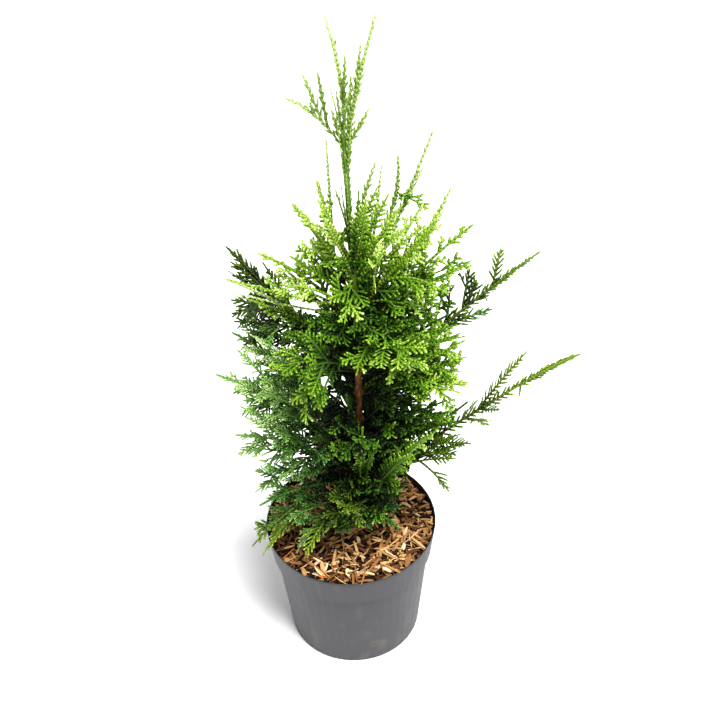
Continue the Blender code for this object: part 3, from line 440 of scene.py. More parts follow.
# How side shoots bend back along their parent, twist out of its flat and aim for the light
Habit = namedtuple("Habit", "curl twist aim")
FROND_HABIT = Habit(0.35, 8, 0.6)
FEATHER_HABIT = Habit(0.30, 5, 0.1)
BRANCHLET_HABIT = Habit(0.32, 4, 0.0)
TIP_HABIT = Habit(0.2, 4, 0.0)
LEAN_SPREAD = 3.5
SAG_LENGTH = 30 * MM              # a shoot of this length sags as much as its limb's `sag` says
SHORTEST_SHOOT = 1.5 * MM
SHORTEST_FROND = 4 * MM
FROND_LENGTH = 1.4                # times the width of the axis
FROND_VIGOUR = (0.72, 1.12)
FROND_TONE_SPREAD = 0.05
FORKING_FROND = 8 * MM            # a shorter frond carries no branchlets
NEAR_VIGOUR = (0.62, 1.10)
BRANCHLET_VIGOUR = (0.86, 1.08)
BRANCHLET_TONE_SPREAD = 0.02
BRANCHLET_LIMIT = 0.42            # the most that a branchlet grows, as a share of its frond
STRONG_SHARE, STRONG_GROWTH = 0.08, 1.5
PALER_OUTWARD = 0.32              # how much paler a shoot is for leaving far along its parent
BRANCHLET_PALER_OUTWARD = 0.22
TIP_GAP = 3.8 * MM
TIP_LENGTH, TIP_SHARE = 2.6 * MM, 0.30

# The coat of leaves on each kind of shoot: how much narrower its leaves get to the tip, how
# much paler, how far apart they are, how wide their base is and how thick they are
Coat = namedtuple("Coat", "narrowing paling step blunt thick")
AXIS_COAT = Coat(0.38, 0.12, 4.4 * MM, 0.92, 0.52)
FROND_COAT = Coat(0.22, 0.32, 2.8 * MM, 0.84, 0.27)
BRANCHLET_COAT = Coat(0.10, 0.44, 2.5 * MM, 0.84, 0.27)
TIP_COAT = Coat(0.1, 0.26, 2.5 * MM, 0.84, 0.27)
LEADING_PALING = 0.30
AXIS_LEAF_WIDTHS = (2.6 * MM, 3.4 * MM)
LEAF_PIECES = 8

# Greens from shade to pale tip, in linear light, for each family
GREENS = (
    ((0.002, 0.008, 0.001), (0.014, 0.046, 0.002), (0.042, 0.114, 0.004),
     (0.095, 0.215, 0.008), (0.185, 0.335, 0.018), (0.325, 0.492, 0.068),
     (0.550, 0.695, 0.210)),
    ((0.002, 0.008, 0.001), (0.014, 0.048, 0.006), (0.038, 0.112, 0.014),
     (0.085, 0.205, 0.034), (0.165, 0.325, 0.072), (0.290, 0.465, 0.135),
     (0.460, 0.610, 0.240)),
    ((0.003, 0.007, 0.001), (0.018, 0.037, 0.003), (0.046, 0.090, 0.006),
     (0.096, 0.165, 0.010), (0.172, 0.268, 0.020), (0.290, 0.400, 0.042),
     (0.460, 0.570, 0.110)),
    ((0.030, 0.070, 0.004), (0.070, 0.145, 0.012), (0.125, 0.225, 0.024),
     (0.195, 0.312, 0.052), (0.285, 0.405, 0.100), (0.405, 0.525, 0.180),
     (0.570, 0.680, 0.310)),
)

# Bark: how deep it is by height, as a share of the radius, and the swelling at each fork
BARK_SIDES = 40
BARK_RING_GAP = 1.3 * MM
BARK_SEED = 3
BARK_HEIGHTS = (0.14, 0.30, 0.50, 0.62)
BARK_DEPTHS = (0.16, 0.11, 0.05, 0.03)
BARK_BROWNS = ((0.060, 0.022, 0.008), (0.190, 0.080, 0.024), (0.360, 0.165, 0.050),
               (0.520, 0.300, 0.120))
SKIN_GREENS = ((0.050, 0.110, 0.010), (0.105, 0.205, 0.018), (0.200, 0.320, 0.040))
SKIN_HEIGHTS = (0.46, 0.54)       # bark turns to green skin between these
RIDGE_TURNS = (2, 3, 5, 7, 9, 13, 17)
FORK_SWELLING = 0.35
FORK_REACH = 4 * MM
CLOSED_END = 0.02 * MM
BOUGH_SIDES = 16
BOUGH_RINGS = 40
BOUGH_RADIUS = 1.0 * MM
BOUGH_RADIUS_BY_REACH = 0.006
BOUGH_TAPER = 0.4
BOUGH_RELIEF = 0.10
BOUGH_OVERLAP = 1.15              # how far it goes on into its foliage

# Twigs, under the leaves
TWIG_RINGS = 5
TWIG_SIDES = 4
TWIG_SHARE = 0.86                 # how far along its shoot a twig goes
TWIG_TAPER = 0.55
TWIG_RADIUS, TWIG_RADIUS_BY_LENGTH = 0.30 * MM, 0.006
TWIG_RADII = (0.45 * MM, 1.2 * MM)
TWIG_END_RADII = (0.2, 0.05)      # what is left of its radius at its foot and its tip
OLIVE_TO = 0.3                    # it is olive up to this share of its length, then green
BROWNER_TO = 0.45                 # and on an axis it is one step browner up to this share
TWIG_BEARING_FROND = 12 * MM      # a shorter frond has no twig
BOUGH_BROWN = (0.060, 0.030, 0.012)
TWIG_BROWN, TWIG_OLIVE, TWIG_GREEN = ((0.070, 0.034, 0.012), (0.120, 0.120, 0.026),
                                      (0.100, 0.190, 0.016))

# Pot and soil
POT_WALL = 1.2 * MM
POT_TAPER = 0.12
POT_GREYS = ((0.036, 0.035, 0.041), (0.046, 0.045, 0.052), (0.061, 0.060, 0.068))
POT_SCUFF = (0.130, 0.127, 0.130)
POT_DIRT = (0.200, 0.150, 0.095)
# the colour of the painted shade along the top of the rim
POT_RIM_SHADE = (0.022, 0.022, 0.024)
POT_INSIDE = (0.010, 0.010, 0.011)
# Soil, near black: partly its own dark brown, partly painted shade where it shows between the chips
SOIL_BROWNS = ((0.003, 0.002, 0.002), (0.012, 0.007, 0.004), (0.050, 0.026, 0.013))

# Mulch: a bed of soil and dust, with loose chips on it
MULCH_SEED = 5
BED_RINGS = 34
BED_SIDES = 120
BED_DEPTH = 2.6 * MM              # under the top of the mulch solid
BED_LUMPS = 0.8 * MM
BED_WALL_GAP = 0.4 * MM
BED_EDGE = 1.5 * MM               # its height at the wall is taken this far in
CHIP_COUNT = 1900
CHIP_RINGS = 5
CHIP_KINDS = (                    # share of the chips, length, width and thickness (mm)
    (0.50, (10, 22), (1.6, 3.0), (0.8, 1.4)),
    (0.26, (7, 15), (2.6, 5.0), (0.9, 1.6)),
    (0.24, (10, 24), (0.9, 1.4), (0.5, 0.9)),
)
CHIP_TONES = ((0.780, 0.560, 0.330), (0.560, 0.345, 0.155), (0.390, 0.210, 0.080),
              (0.235, 0.112, 0.038), (0.090, 0.036, 0.012), (0.016, 0.007, 0.003))
DEAD_LEAF = (0.480, 0.150, 0.030)
DEAD_LEAF_SHARE = 0.012
CHIP_TONE_SHARES = (0.09, 0.19, 0.22, 0.22, 0.16, 0.12)
# Chips down in the heap are darker: partly damp wood, partly painted shade under the chips above
CHIP_DAMP_AND_SHADE_LAYERS = (0.62, 0.45, 0.30)    # a chip is a tone darker under each of these layers
CHIP_HEAP = 5.0                   # how high the chips are heaped, and how far they sink (mm)
CHIP_SINK = 2.2
CHIP_TRUNK_GAP = 9 * MM
CHIP_WALL_GAP = 0.6 * MM
CHIP_BOW, CHIP_SKEW = 0.035, 0.03    # how far it bends out of its flat, and sideways
CHIP_UNEVENNESS = (0.75, 1.1)
CHIP_RING = ((-1, -1), (1, -1), (1, 1), (-1, 1))
RIM_CHIP_FRONT, RIM_CHIP_SIDE = 60 * MM, 55 * MM    # where chips may lie out on the rim
RIM_CHIPS_FROM = 0.8              # only the chips of the layers above this
RIM_CHIP_REACH = 88.5 * MM
RIM_START = 80 * MM
RIM_CHIP_LIFT = 0.5 * MM
DEAD_LEAVES_FROM = 0.7
CHIP_PITCH = 13
CHIP_ROLL = 20
UPTURNED_SHARE = 0.1
UPTURNED_PITCH = (-45, 45)

# Stage
FLOOR_SIZE = 6.0
FLOOR_WHITE = (0.88, 0.88, 0.88)
SKY_STRENGTH = 0.60
KEY_STRENGTH = 4.8
KEY_WIDTH = 22
KEY_AIM = (-0.20, 0.30, -1.0)

Shoots = namedtuple("Shoots", "root lead trail normal length width tone hue limb sag bare")


def unit(vectors):
    """Vectors brought to length 1."""
    return vectors / np.maximum(np.linalg.norm(vectors, axis=-1, keepdims=True), 1e-9)


def pick(shoots, chosen):
    """Some of the shoots."""
    return Shoots(*[column[chosen] for column in shoots])


def stack(*groups):
    """Several groups of shoots as one."""
    return Shoots(*[np.concatenate(columns) for columns in zip(*groups)])


def trunk_line():
    """The trunk's centre and radius by height, read from its solid's rings."""
    points = np.array([tuple(v.co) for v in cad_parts["trunk"].data.vertices])
    rows = []
    for height in np.unique(np.round(points[:, 2], 4)):
        ring = points[np.abs(points[:, 2] - height) < 0.1 * MM]
        if len(np.unique(np.round(ring, 5), axis=0)) < 8:
            continue
        low, high = ring.min(axis=0), ring.max(axis=0)
        rows.append((height, (low[0] + high[0]) / 2, (high[0] - low[0]) / 2))
    return np.array(rows)


TRUNK = trunk_line()


def trunk_place(height):
    """The trunk's centre at a height."""
    return np.array([np.interp(height, TRUNK[:, 0], TRUNK[:, 1]), 0.0, height])


def plain(name, colour, roughness=0.5, specular=0.4):
    """A material of one colour."""
    made = bpy.data.materials.new(name)
    made.use_nodes = True
    shader = made.node_tree.nodes["Principled BSDF"]
    shader.inputs["Base Color"].default_value = (*colour, 1.0)
    shader.inputs["Roughness"].default_value = roughness
    shader.inputs["Specular IOR Level"].default_value = specular
    return made


def mesh_object(name, vertices, faces, materials, slots=None, smooth=True):
    """A mesh from arrays of vertices and of equal-sized faces."""
    mesh = bpy.data.meshes.new(name)
    count, corners = faces.shape
    mesh.vertices.add(len(vertices))
    mesh.vertices.foreach_set("co", vertices.astype(np.float32).ravel())
    mesh.loops.add(count * corners)
    mesh.loops.foreach_set("vertex_index", faces.astype(np.int32).ravel())
    mesh.polygons.add(count)
    mesh.polygons.foreach_set("loop_start", np.arange(0, count * corners, corners, dtype=np.int32))
    for made in materials:
        mesh.materials.append(made)
    if slots is not None:
        mesh.polygons.foreach_set("material_index", slots.astype(np.int32))
    mesh.polygons.foreach_set("use_smooth", np.full(count, smooth))
    mesh.update(calc_edges=True)
    mesh.validate()
    made = bpy.data.objects.new(name, mesh)
    bpy.context.scene.collection.objects.link(made)
    return made


# ---------------------------------------------------------------- growth

def facing(points):
    """Where sprays turn their flats: up, out from the trunk, and to the light in front."""
    outward = unit(points * np.array([1.0, 1.0, 0.0]))
    return unit(0.4 * outward + np.array([0.0, -0.55, 0.8]))


def across(vectors, directions):
    """What is left of vectors at right angles to directions."""
    return vectors - directions * np.sum(vectors * directions, axis=-1, keepdims=True)


def axis_row(root, bend, tip, roll, width, tone, hue, limb, sag, bare):
    """One shoot from its foot, the middle of its bow and its tip, with its flat to the light."""
    along = unit(tip - root)
    normal = across(facing(bend), along)
    level = unit(np.cross([0.0, 0.0, 1.0], along) + [1e-6, 0, 0])
    normal = unit(normal + 0.3 * np.cross(along, level))
    side = np.cross(normal, along)
    turn = math.radians(roll)
    normal = normal * math.cos(turn) + side * math.sin(turn)
    length = np.linalg.norm(tip - root)
    return (root, 2 * (bend - root), 2 * (tip - bend), normal, length, width, tone, hue,
            limb, sag, bare)


def heading(bearing, rise=0.0):
    """The way a bearing points, with a rise for each unit of its run."""
    return np.array([math.cos(bearing), math.sin(bearing), rise])


def to_shoots(rows):
    """Rows of single shoots as one group."""
    return Shoots(*[np.array(column) for column in zip(*rows)])


def limb_shoots(chance):
    """The limbs, where their solids are."""
    rows = []
    for number, limb in enumerate(LIMBS):
        out = heading(math.radians(limb.bearing))
        root = trunk_place(limb.start * CM)
        rise = np.array([0.0, 0.0, limb.tip * CM - root[2]])
        bend = root + out * limb.reach * CM * limb.bend + rise * BOW_HEIGHT
        bend[2] += limb.arch * CM
        tip = root + out * limb.reach * CM + rise
        rows.append(axis_row(root, bend, tip, chance.normal(0, LIMB_ROLL), limb.width * CM,
                             limb.tone, limb.hue, number, limb.sag, BARE_TIP))
    return to_shoots(rows)


def lead_shoots(limbs, chance):
    """The leads, each from its limb or from the trunk."""
    rows = []
    for lead in LEADS:
        number = LIMB_NUMBER[lead.limb]
        if lead.start > 1:
            root = trunk_place(lead.start * CM)
        else:
            root = place_on(limbs, np.array([number]), np.array([lead.start]))[0][0]
        tip = np.array(lead.tip) * CM
        bend = (root + tip) / 2
        bend[2] += lead.lift * CM
        roll = chance.normal(0, LEAD_ROLL)
        tone = lead.tone + chance.normal(0, LEAD_TONE_SPREAD)
        hue = LIMBS[number].hue if lead.hue is None else lead.hue
        rows.append(axis_row(root, bend, tip, roll, lead.width * CM, tone, hue, number, LEAD_SAG,
                             LEAD_BARE_TIP))
    return to_shoots(rows)


def inner_shoots(chance):
    """Short shaded shoots all up the trunk."""
    rows = []
    for number in range(INNER_SHOOTS):
        height = np.interp((number + chance.uniform()) / INNER_SHOOTS, (0, 1), INNER_HEIGHTS)
        bearing = number * GOLDEN_TURN + chance.uniform(-0.4, 0.4)
        shrink = 1.15 - height / (0.95 * INNER_HEIGHTS[1]) * 0.45
        reach = chance.uniform(*INNER_REACH) * shrink
        root = trunk_place(height)
        tip = root + unit(heading(bearing, chance.uniform(*INNER_RISE))) * reach
        rows.append(axis_row(root, (root + tip) / 2, tip, chance.uniform(*INNER_ROLL), INNER_WIDTH,
                             INNER_TONE, FRESH, nearest_limb(height, bearing), FILLER_SAG,
                             INNER_BARE))
    return to_shoots(rows)


def nearest_limb(height, bearing):
    """The limb whose foliage a shoot at this height and bearing belongs to."""
    return min(range(len(LIMBS)), key=lambda n: abs(LIMBS[n].start * CM - height)
               + 0.02 * (1 - math.cos(math.radians(LIMBS[n].bearing) - bearing)))


def back_shoots(chance):
    """Sprays up the back of the crown, which the photograph doesn't show."""
    rows = []
    for number in range(BACK_SHOOTS):
        share = (number + chance.uniform()) / BACK_SHOOTS
        height = np.interp(share, (0, 1), BACK_HEIGHTS)
        bearing = math.radians(np.interp((number * GOLDEN_SHARE) % 1, (0, 1), BACK_BEARINGS))
        reach = np.interp(share, (0, 1), BACK_REACH) * chance.uniform(*BACK_VIGOUR)
        root = trunk_place(height)
        out = heading(bearing)
        rise = np.array([0.0, 0.0, chance.uniform(*BACK_RISE)])
        tip = root + (out + rise) * reach
        bend = root + (0.5 * out + 0.35 * rise) * reach
        hue = FRESH if height > BACK_FRESH_FROM else BLUISH
        roll = chance.normal(0, BACK_ROLL)
        rows.append(axis_row(root, bend, tip, roll, chance.uniform(*BACK_WIDTH) * CM, BACK_TONE, hue,
                             nearest_limb(height, bearing), FILLER_SAG, BARE_TIP))
    return to_shoots(rows)


def side_boughs(axes, chance):
    """Boughs set round the limbs, so that the crown is as full behind as before."""
    rows = []
    for number in range(len(axes.length)):
        middle = axes.root[number, 2] + 0.25 * (axes.lead[number, 2] + axes.trail[number, 2])
        spacing = np.interp(middle, SPACING_HEIGHTS, SIDE_BOUGH_SPACING)
        count = int(axes.length[number] * 0.8 / spacing)
        turn = chance.uniform(0, 2 * math.pi)
        if axes.width[number] < FROND_BEARING_WIDTH:
            continue
        for step in range(count):
            place = (step + chance.uniform(0.2, 0.8)) / count
            turn += GOLDEN_TURN
            rows.append(side_bough(axes, number, place, turn, chance))
    return to_shoots(rows)


def side_bough(axes, number, place, turn, chance):
    """One bough, at a place along its parent and turned about it by an angle."""
    share = SIDE_BOUGH_FROM + SIDE_BOUGH_SPAN * place
    point, along = place_on(axes, np.array([number]), np.array([share]))
    point, along = point[0], along[0]
    side = unit(np.cross(along, [0.3, 0.2, 1.0]))
    out = side * math.cos(turn) + np.cross(side, along) * math.sin(turn)
    if np.dot(out, unit(point * [1.0, 1.0, 0.0])) < -0.3:
        out = -out
    lean = math.radians(chance.uniform(*SIDE_BOUGH_LEAN))
    longest = min(0.7 * axes.length[number] * (1 - share) + 1.5 * CM, axes.width[number] * 1.5)
    reach = longest * chance.uniform(*SIDE_BOUGH_VIGOUR)
    lift = np.interp(point[2], TROPISM_HEIGHTS, TROPISM) - axes.sag[number]
    upward = np.array([0, 0, lift])
    start = along * math.cos(lean) + out * math.sin(lean)
    bend = point + unit(start + 0.4 * upward) * reach / 2
    tip = bend + unit(start + 1.2 * upward) * reach / 2
    tip[2] = max(tip[2], FLOOR_OF_FOLIAGE + 0.5 * CM)
    tone = axes.tone[number] + chance.normal(0, SIDE_BOUGH_TONE_SPREAD) - 0.10 * (1 - share)
    spread = reach * 0.5 if reach > FORKING_REACH else FEATHER_WIDTH
    return axis_row(point, bend, tip, chance.normal(0, SIDE_BOUGH_ROLL), spread, tone,
                    axes.hue[number], axes.limb[number], axes.sag[number], BARE_TIP)


def place_on(shoots, index, share):
    """Points and directions a share of the way along some of the shoots."""
    share = share[:, None]
    lead, trail = shoots.lead[index], shoots.trail[index]
    point = shoots.root[index] + share * lead + 0.5 * share ** 2 * (trail - lead)
    return point, unit(lead + share * (trail - lead))


def side_places(parents, spacing, first, last, chance):
    """Which parent each side shoot leaves, how far along it, and to which hand."""
    span = last - first
    counts = np.maximum(1, np.round(parents.length * span / spacing)).astype(int)
    index = np.repeat(np.arange(len(counts)), counts)
    step = np.arange(len(index)) - np.repeat(np.cumsum(counts) - counts, counts)
    share = (step + 0.5 + chance.uniform(-0.2, 0.2, len(index))) / counts[index]
    share = first[index] + span[index] * share
    hand = np.where((step + chance.randint(0, 2, len(counts))[index]) % 2, 1.0, -1.0)[:, None]
    return index, share, hand


def side_shoots(parents, spacing, first, last, lengths, habit, chance):
    """Shoots that leave their parents on alternate sides, in the flat of the spray.

    `spacing`, `first` and `last` are given for each parent, the last two as shares of it.
    `lengths(share, index)` gives the shoots' lengths."""
    index, share, hand = side_places(parents, spacing, first, last, chance)
    point, along = place_on(parents, index, share)
    normal = unit(parents.normal[index])
    side = unit(np.cross(normal, along)) * hand
    hue = parents.hue[index].astype(int)
    foot, tip = STYLES.lean_foot[hue], STYLES.lean_tip[hue]
    lean = np.radians(foot + (tip - foot) * share + chance.normal(0, LEAN_SPREAD, len(index)))
    lean = lean[:, None]
    tilt = np.radians(chance.normal(0, habit.twist, len(index)))[:, None]
    side = side * np.cos(tilt) + normal * np.sin(tilt)
    start = unit(np.cos(lean) * along + np.sin(lean) * side)
    length = lengths(share, index)
    down = (parents.sag[index] * length / SAG_LENGTH)[:, None] * np.array([0.0, 0.0, 1.0])
    end = unit(start + along * habit.curl - down)
    flat = unit(across((1 - habit.aim) * normal + habit.aim * facing(point), start))
    turn = np.radians(chance.normal(0, habit.twist, len(index)))[:, None]
    flat = unit(flat * np.cos(turn) + np.cross(start, flat) * np.sin(turn))
    lead, trail = start * length[:, None], end * length[:, None]
    low = point[:, 2] + (lead[:, 2] + trail[:, 2]) / 2 - FLOOR_OF_FOLIAGE
    trail[:, 2] -= 2 * np.minimum(low, 0)
    zero = np.zeros(len(index))
    made = Shoots(point, lead, trail, flat, length, zero, parents.tone[index],
                  parents.hue[index], parents.limb[index], parents.sag[index], zero)
    keep = length > SHORTEST_SHOOT
    return pick(made, keep), index[keep], share[keep]


def leaves_on(shoots, first, last, width, coat, chance):
    """Scale leaves along shoots, from a share of each to another."""
    steps = np.maximum(1, np.round(shoots.length * (last - first) / coat.step)).astype(int)
    index = np.repeat(np.arange(len(steps)), steps)
    step = np.arange(len(index)) - np.repeat(np.cumsum(steps) - steps, steps)
    share = first[index] + (last - first)[index] * step / steps[index]
    point, along = place_on(shoots, index, share)
    long = shoots.length[index] * (last - first)[index] / steps[index]
    uneven = chance.uniform(0.92, 1.08, len(index))
    wide = width[index] * (1 - coat.narrowing * share ** 2) * uneven
    rise = np.broadcast_to(coat.paling, shoots.length.shape)[index]
    tone = shoots.tone[index] + rise * (share ** 1.5 - 0.40)
    return dict(point=point, along=along, normal=shoots.normal[index], long=long, wide=wide,
                tone=tone, hue=shoots.hue[index], limb=shoots.limb[index],
                blunt=np.full(len(index), coat.blunt), thick=np.full(len(index), coat.thick))


def leaf_mesh(name, leaves, materials):
    """One mesh of scale leaves: a ridged top and a flat bottom, blunt at the base."""
    side = unit(np.cross(leaves["normal"], leaves["along"]))
    flat = unit(np.cross(leaves["along"], side))
    long = leaves["long"][:, None] * leaves["along"]
    half = 0.5 * leaves["wide"][:, None] * side
    base = leaves["blunt"][:, None] * half
    rise = (leaves["wide"] * leaves["thick"])[:, None] * flat
    at = leaves["point"] - 0.3 * rise
    corners = np.stack([
        at + LEAF_START * long - base,
        at + LEAF_WIDEST * long - half,
        at + LEAF_END * long,
        at + LEAF_WIDEST * long + half,
        at + LEAF_START * long + base,
        at + LEAF_RIDGE * long + rise,
    ], axis=1)
    pattern = np.array([(1, 0, 5), (2, 1, 5), (3, 2, 5), (4, 3, 5), (0, 4, 5),
                        (0, 1, 3), (0, 3, 4), (1, 2, 3)])
    count = len(at)
    faces = (np.arange(count)[:, None, None] * 6 + pattern[None]).reshape(-1, 3)
    slots = np.repeat(leaf_slot(leaves), 8)
    return mesh_object(name, corners.reshape(-1, 3), faces, materials, slots)


def leaf_slot(leaves):
    """The material of each leaf, from its family and its tone."""
    levels = len(GREENS[0])
    level = np.clip(np.floor(leaves["tone"] * levels), 0, levels - 1).astype(int)
    return leaves["hue"].astype(int) * levels + level


def join(parts):
    """Several groups of leaves as one."""
    return {key: np.concatenate([part[key] for part in parts]) for key in parts[0]}


def in_photo(points):
    """Where points stand in the photograph, in pixels from its left and its top."""
    right, up, forward = [np.array(axis) for axis in camera_axes()]
    ray = points - np.array(CAMERA_PLACE)
    scale = PHOTO_SIZE * CAMERA_LENS / CAMERA_SENSOR / (ray @ forward)
    return PHOTO_SIZE / 2 + ray @ right * scale, PHOTO_SIZE / 2 - ray @ up * scale


def clear_of_gaps(shoots):
    """Which shoots keep their middles and tips out of the gaps in the crown."""
    clear = np.ones(len(shoots.length), dtype=bool)
    for share in (0.5, 1.0):
        point, _ = place_on(shoots, np.arange(len(clear)), np.full(len(clear), share))
        x, y = in_photo(point)
        for gap in GAPS:
            clear &= ((x - gap.x) / gap.across) ** 2 + ((y - gap.y) / gap.down) ** 2 > 1
    return clear


def inside_box(shoots):
    """Which shoots end inside the box of the CAD, give or take a margin."""
    everyone = np.arange(len(shoots.length))
    tip, _ = place_on(shoots, everyone, np.ones(len(everyone)))
    low, high = np.array(CAD_BOUNDS)
    return np.all((tip > low - BOX_MARGIN) & (tip < high + BOX_MARGIN), axis=1)


def allowed(shoots):
    """The shoots that leave the gaps open and stay inside the box."""
    return pick(shoots, clear_of_gaps(shoots) & inside_box(shoots))


def shade(shoots):
    """How much tone the shoots lose by standing deep in the crown."""
    middle = shoots.root + 0.25 * (shoots.lead + shoots.trail)
    stem = np.interp(middle[:, 2], TRUNK[:, 0], TRUNK[:, 1])
    away = np.hypot(middle[:, 0] - stem, middle[:, 1])
    depth = SHADE_FROM - away / np.interp(middle[:, 2], CROWN_HEIGHTS, CROWN_RADII)
    strength = SHADE * np.interp(middle[:, 2], SHADE_FADES, (1, SHADE_ALOFT))
    return np.where(shoots.hue == LEADING, 0, strength * np.clip(depth, 0, 1))


def grow_axes(chance):
    """Limbs and leads, with the shoots that fill in behind and between them."""
    limbs = limb_shoots(chance)
    leads = lead_shoots(limbs, chance)
    backs = back_shoots(chance)
    boughs = side_boughs(stack(limbs, leads, backs), chance)
    fillers = stack(backs, boughs, inner_shoots(chance))
    return stack(limbs, leads, allowed(fillers))


def grow_fronds(axes, first, chance):
    """Fronds on the axes that are wide enough to carry them."""
    def length(share, index):
        rise = np.minimum(1, (share + 0.15) / 0.40)
        fall = np.clip((1.04 - share) / 0.60, 0, 1) ** 0.8
        vigour = chance.uniform(*FROND_VIGOUR, len(index))
        grown = axes.width[index] * FROND_LENGTH * rise * fall * vigour
        return np.maximum(grown, SHORTEST_FROND)

    gap = STYLES.frond_gap[axes.hue.astype(int)] * MM
    fronds, index, share = side_shoots(axes, gap, first, 1 - axes.bare, length, FROND_HABIT, chance)
    forking = axes.width[index] >= FROND_BEARING_WIDTH
    fronds, share = pick(fronds, forking), share[forking]
    tone = fronds.tone + chance.normal(0, FROND_TONE_SPREAD, len(share))
    tone = tone + PALER_OUTWARD * (share - 0.5) - shade(fronds)
    return allowed(fronds._replace(tone=tone))


def grow_near(axes, first, chance):
    """Branchlets right on the axes: all along a feather, and at the tips of the others."""
    hue = axes.hue.astype(int)

    def length(share, index):
        longest = np.minimum(STYLES.longest[hue[index]] * 1.1 * MM, 1.4 * axes.width[index])
        profile = np.clip((1.10 - share) / 0.6, 0.35, 1) * np.minimum(1, (share + 0.3) / 0.5)
        return longest * profile * chance.uniform(*NEAR_VIGOUR, len(index))

    gap = STYLES.gap[hue] * MM
    near, index, share = side_shoots(axes, gap, first, 1 - axes.bare, length, FEATHER_HABIT, chance)
    near = near._replace(tone=near.tone + PALER_OUTWARD * (share - 0.5) - shade(near))
    return pick(near, (axes.width[index] < FROND_BEARING_WIDTH) | (share > 0.75))


def grow_branchlets(fronds, near, chance):
    """Branchlets on the longer fronds, with those on the axes."""
    bearing = pick(fronds, fronds.length > FORKING_FROND)
    hue = bearing.hue.astype(int)
    ones = np.ones(len(hue))

    def length(share, index):
        longest = STYLES.longest[hue[index]] * MM
        even = np.minimum(longest, BRANCHLET_LIMIT * bearing.length[index])
        even = even * (1 - 0.62 * share ** 2.5)
        strong = np.where(chance.uniform(0, 1, len(index)) < STRONG_SHARE, STRONG_GROWTH, 1.0)
        return even * strong * chance.uniform(*BRANCHLET_VIGOUR, len(index))

    made, _, share = side_shoots(bearing, STYLES.gap[hue] * MM, 0.10 * ones, 0.97 * ones, length,
                                 BRANCHLET_HABIT, chance)
    made = made._replace(tone=made.tone + BRANCHLET_PALER_OUTWARD * (share - 0.4))
    made = allowed(stack(made, near))
    spread = chance.normal(0, BRANCHLET_TONE_SPREAD, len(made.tone))
    return made._replace(tone=made.tone + spread)


def grow_tips(branchlets, chance):
    """Side tips on the longest branchlets."""
    long = branchlets.length > STYLES.tips_from[branchlets.hue.astype(int)] * MM
    carriers = pick(branchlets, long)
    ones = np.ones(len(carriers.length))

    def length(share, index):
        return TIP_LENGTH + TIP_SHARE * carriers.length[index] * (1 - share)

    return side_shoots(carriers, TIP_GAP * ones, 0.28 * ones, 0.86 * ones, length, TIP_HABIT,
                       chance)[0]


def grow():
    """Every shoot, from the limbs to the side tips."""
    chance = np.random.RandomState(GROWTH_SEED)
    axes = grow_axes(chance)
    bare = np.array([limb.bare for limb in LIMBS] + [0.0] * (len(axes.length) - len(LIMBS)))
    first = np.maximum(0.06, 0.8 * bare * CM / axes.length)
    fronds = grow_fronds(axes, first, chance)
    near = grow_near(axes, first, chance)
    branchlets = grow_branchlets(fronds, near, chance)
    tips = grow_tips(branchlets, chance)
    axes = axes._replace(tone=axes.tone - shade(axes))
    return axes, first, fronds, branchlets, tips, chance


def leaf_layers(axes, first, fronds, branchlets, tips, chance):
    """The leaves on every kind of shoot."""
    def span(shoots, start):
        return np.full(len(shoots.length), start), np.ones(len(shoots.length))

    def width(shoots, factor):
        return STYLES.wide[shoots.hue.astype(int)] * factor * MM

    stout = np.clip(axes.length * 0.03, *AXIS_LEAF_WIDTHS)
    paling = np.where(axes.hue == LEADING, LEADING_PALING, AXIS_COAT.paling)
    axis_coat = AXIS_COAT._replace(paling=paling)
    return join([
        leaves_on(axes, first, np.ones(len(first)), stout, axis_coat, chance),
        leaves_on(fronds, *span(fronds, 0), width(fronds, 1.0), FROND_COAT, chance),
        leaves_on(branchlets, *span(branchlets, 0.06), width(branchlets, 1), BRANCHLET_COAT, chance),
        leaves_on(tips, *span(tips, 0.1), width(tips, 0.85), TIP_COAT, chance),
    ])


def build_foliage(axes, first, fronds, branchlets, tips, chance):
    """The leaves, in pieces that each take the limbs a fixed number apart."""
    leaves = leaf_layers(axes, first, fronds, branchlets, tips, chance)
    greens = [plain(f"green_{family}_{level}", colour, 0.42, 0.32)
              for family, shades in enumerate(GREENS) for level, colour in enumerate(shades)]
    for group in range(LEAF_PIECES):
        chosen = [number for number in range(len(LIMBS)) if number % LEAF_PIECES == group]
        mask = np.isin(leaves["limb"], chosen)
        piece = leaf_mesh(f"scale_leaves_{group}", {k: v[mask] for k, v in leaves.items()}, greens)
        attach(piece, "root")
        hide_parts(*["foliage_" + LIMBS[number].name for number in chosen])


# ---------------------------------------------------------------- bark and twigs

def swept(centres, along, normals, radii):
    """Vertices and quads of closed tubes. `centres` and `along` hold the rings of each tube,
    `normals` where its first corner faces, and `radii` the reach of every corner."""
    count, rings, sides = radii.shape
    side = unit(np.cross(normals, along))
    up = np.cross(along, side)
    angle = np.linspace(0, 2 * math.pi, sides, endpoint=False)
    spoke = (np.cos(angle)[:, None] * side[:, :, None, :] + np.sin(angle)[:, None] * up[:, :, None, :])
    vertices = centres[:, :, None, :] + spoke * radii[:, :, :, None]
    ring, corner = np.meshgrid(np.arange(rings - 1), np.arange(sides), indexing="ij")
    after = (corner + 1) % sides
    quads = np.stack([ring * sides + corner, ring * sides + after, (ring + 1) * sides + after,
                      (ring + 1) * sides + corner], axis=-1).reshape(-1, 4)
    quads = (np.arange(count)[:, None, None] * rings * sides + quads[None]).reshape(-1, 4)
    return vertices.reshape(-1, 3), quads


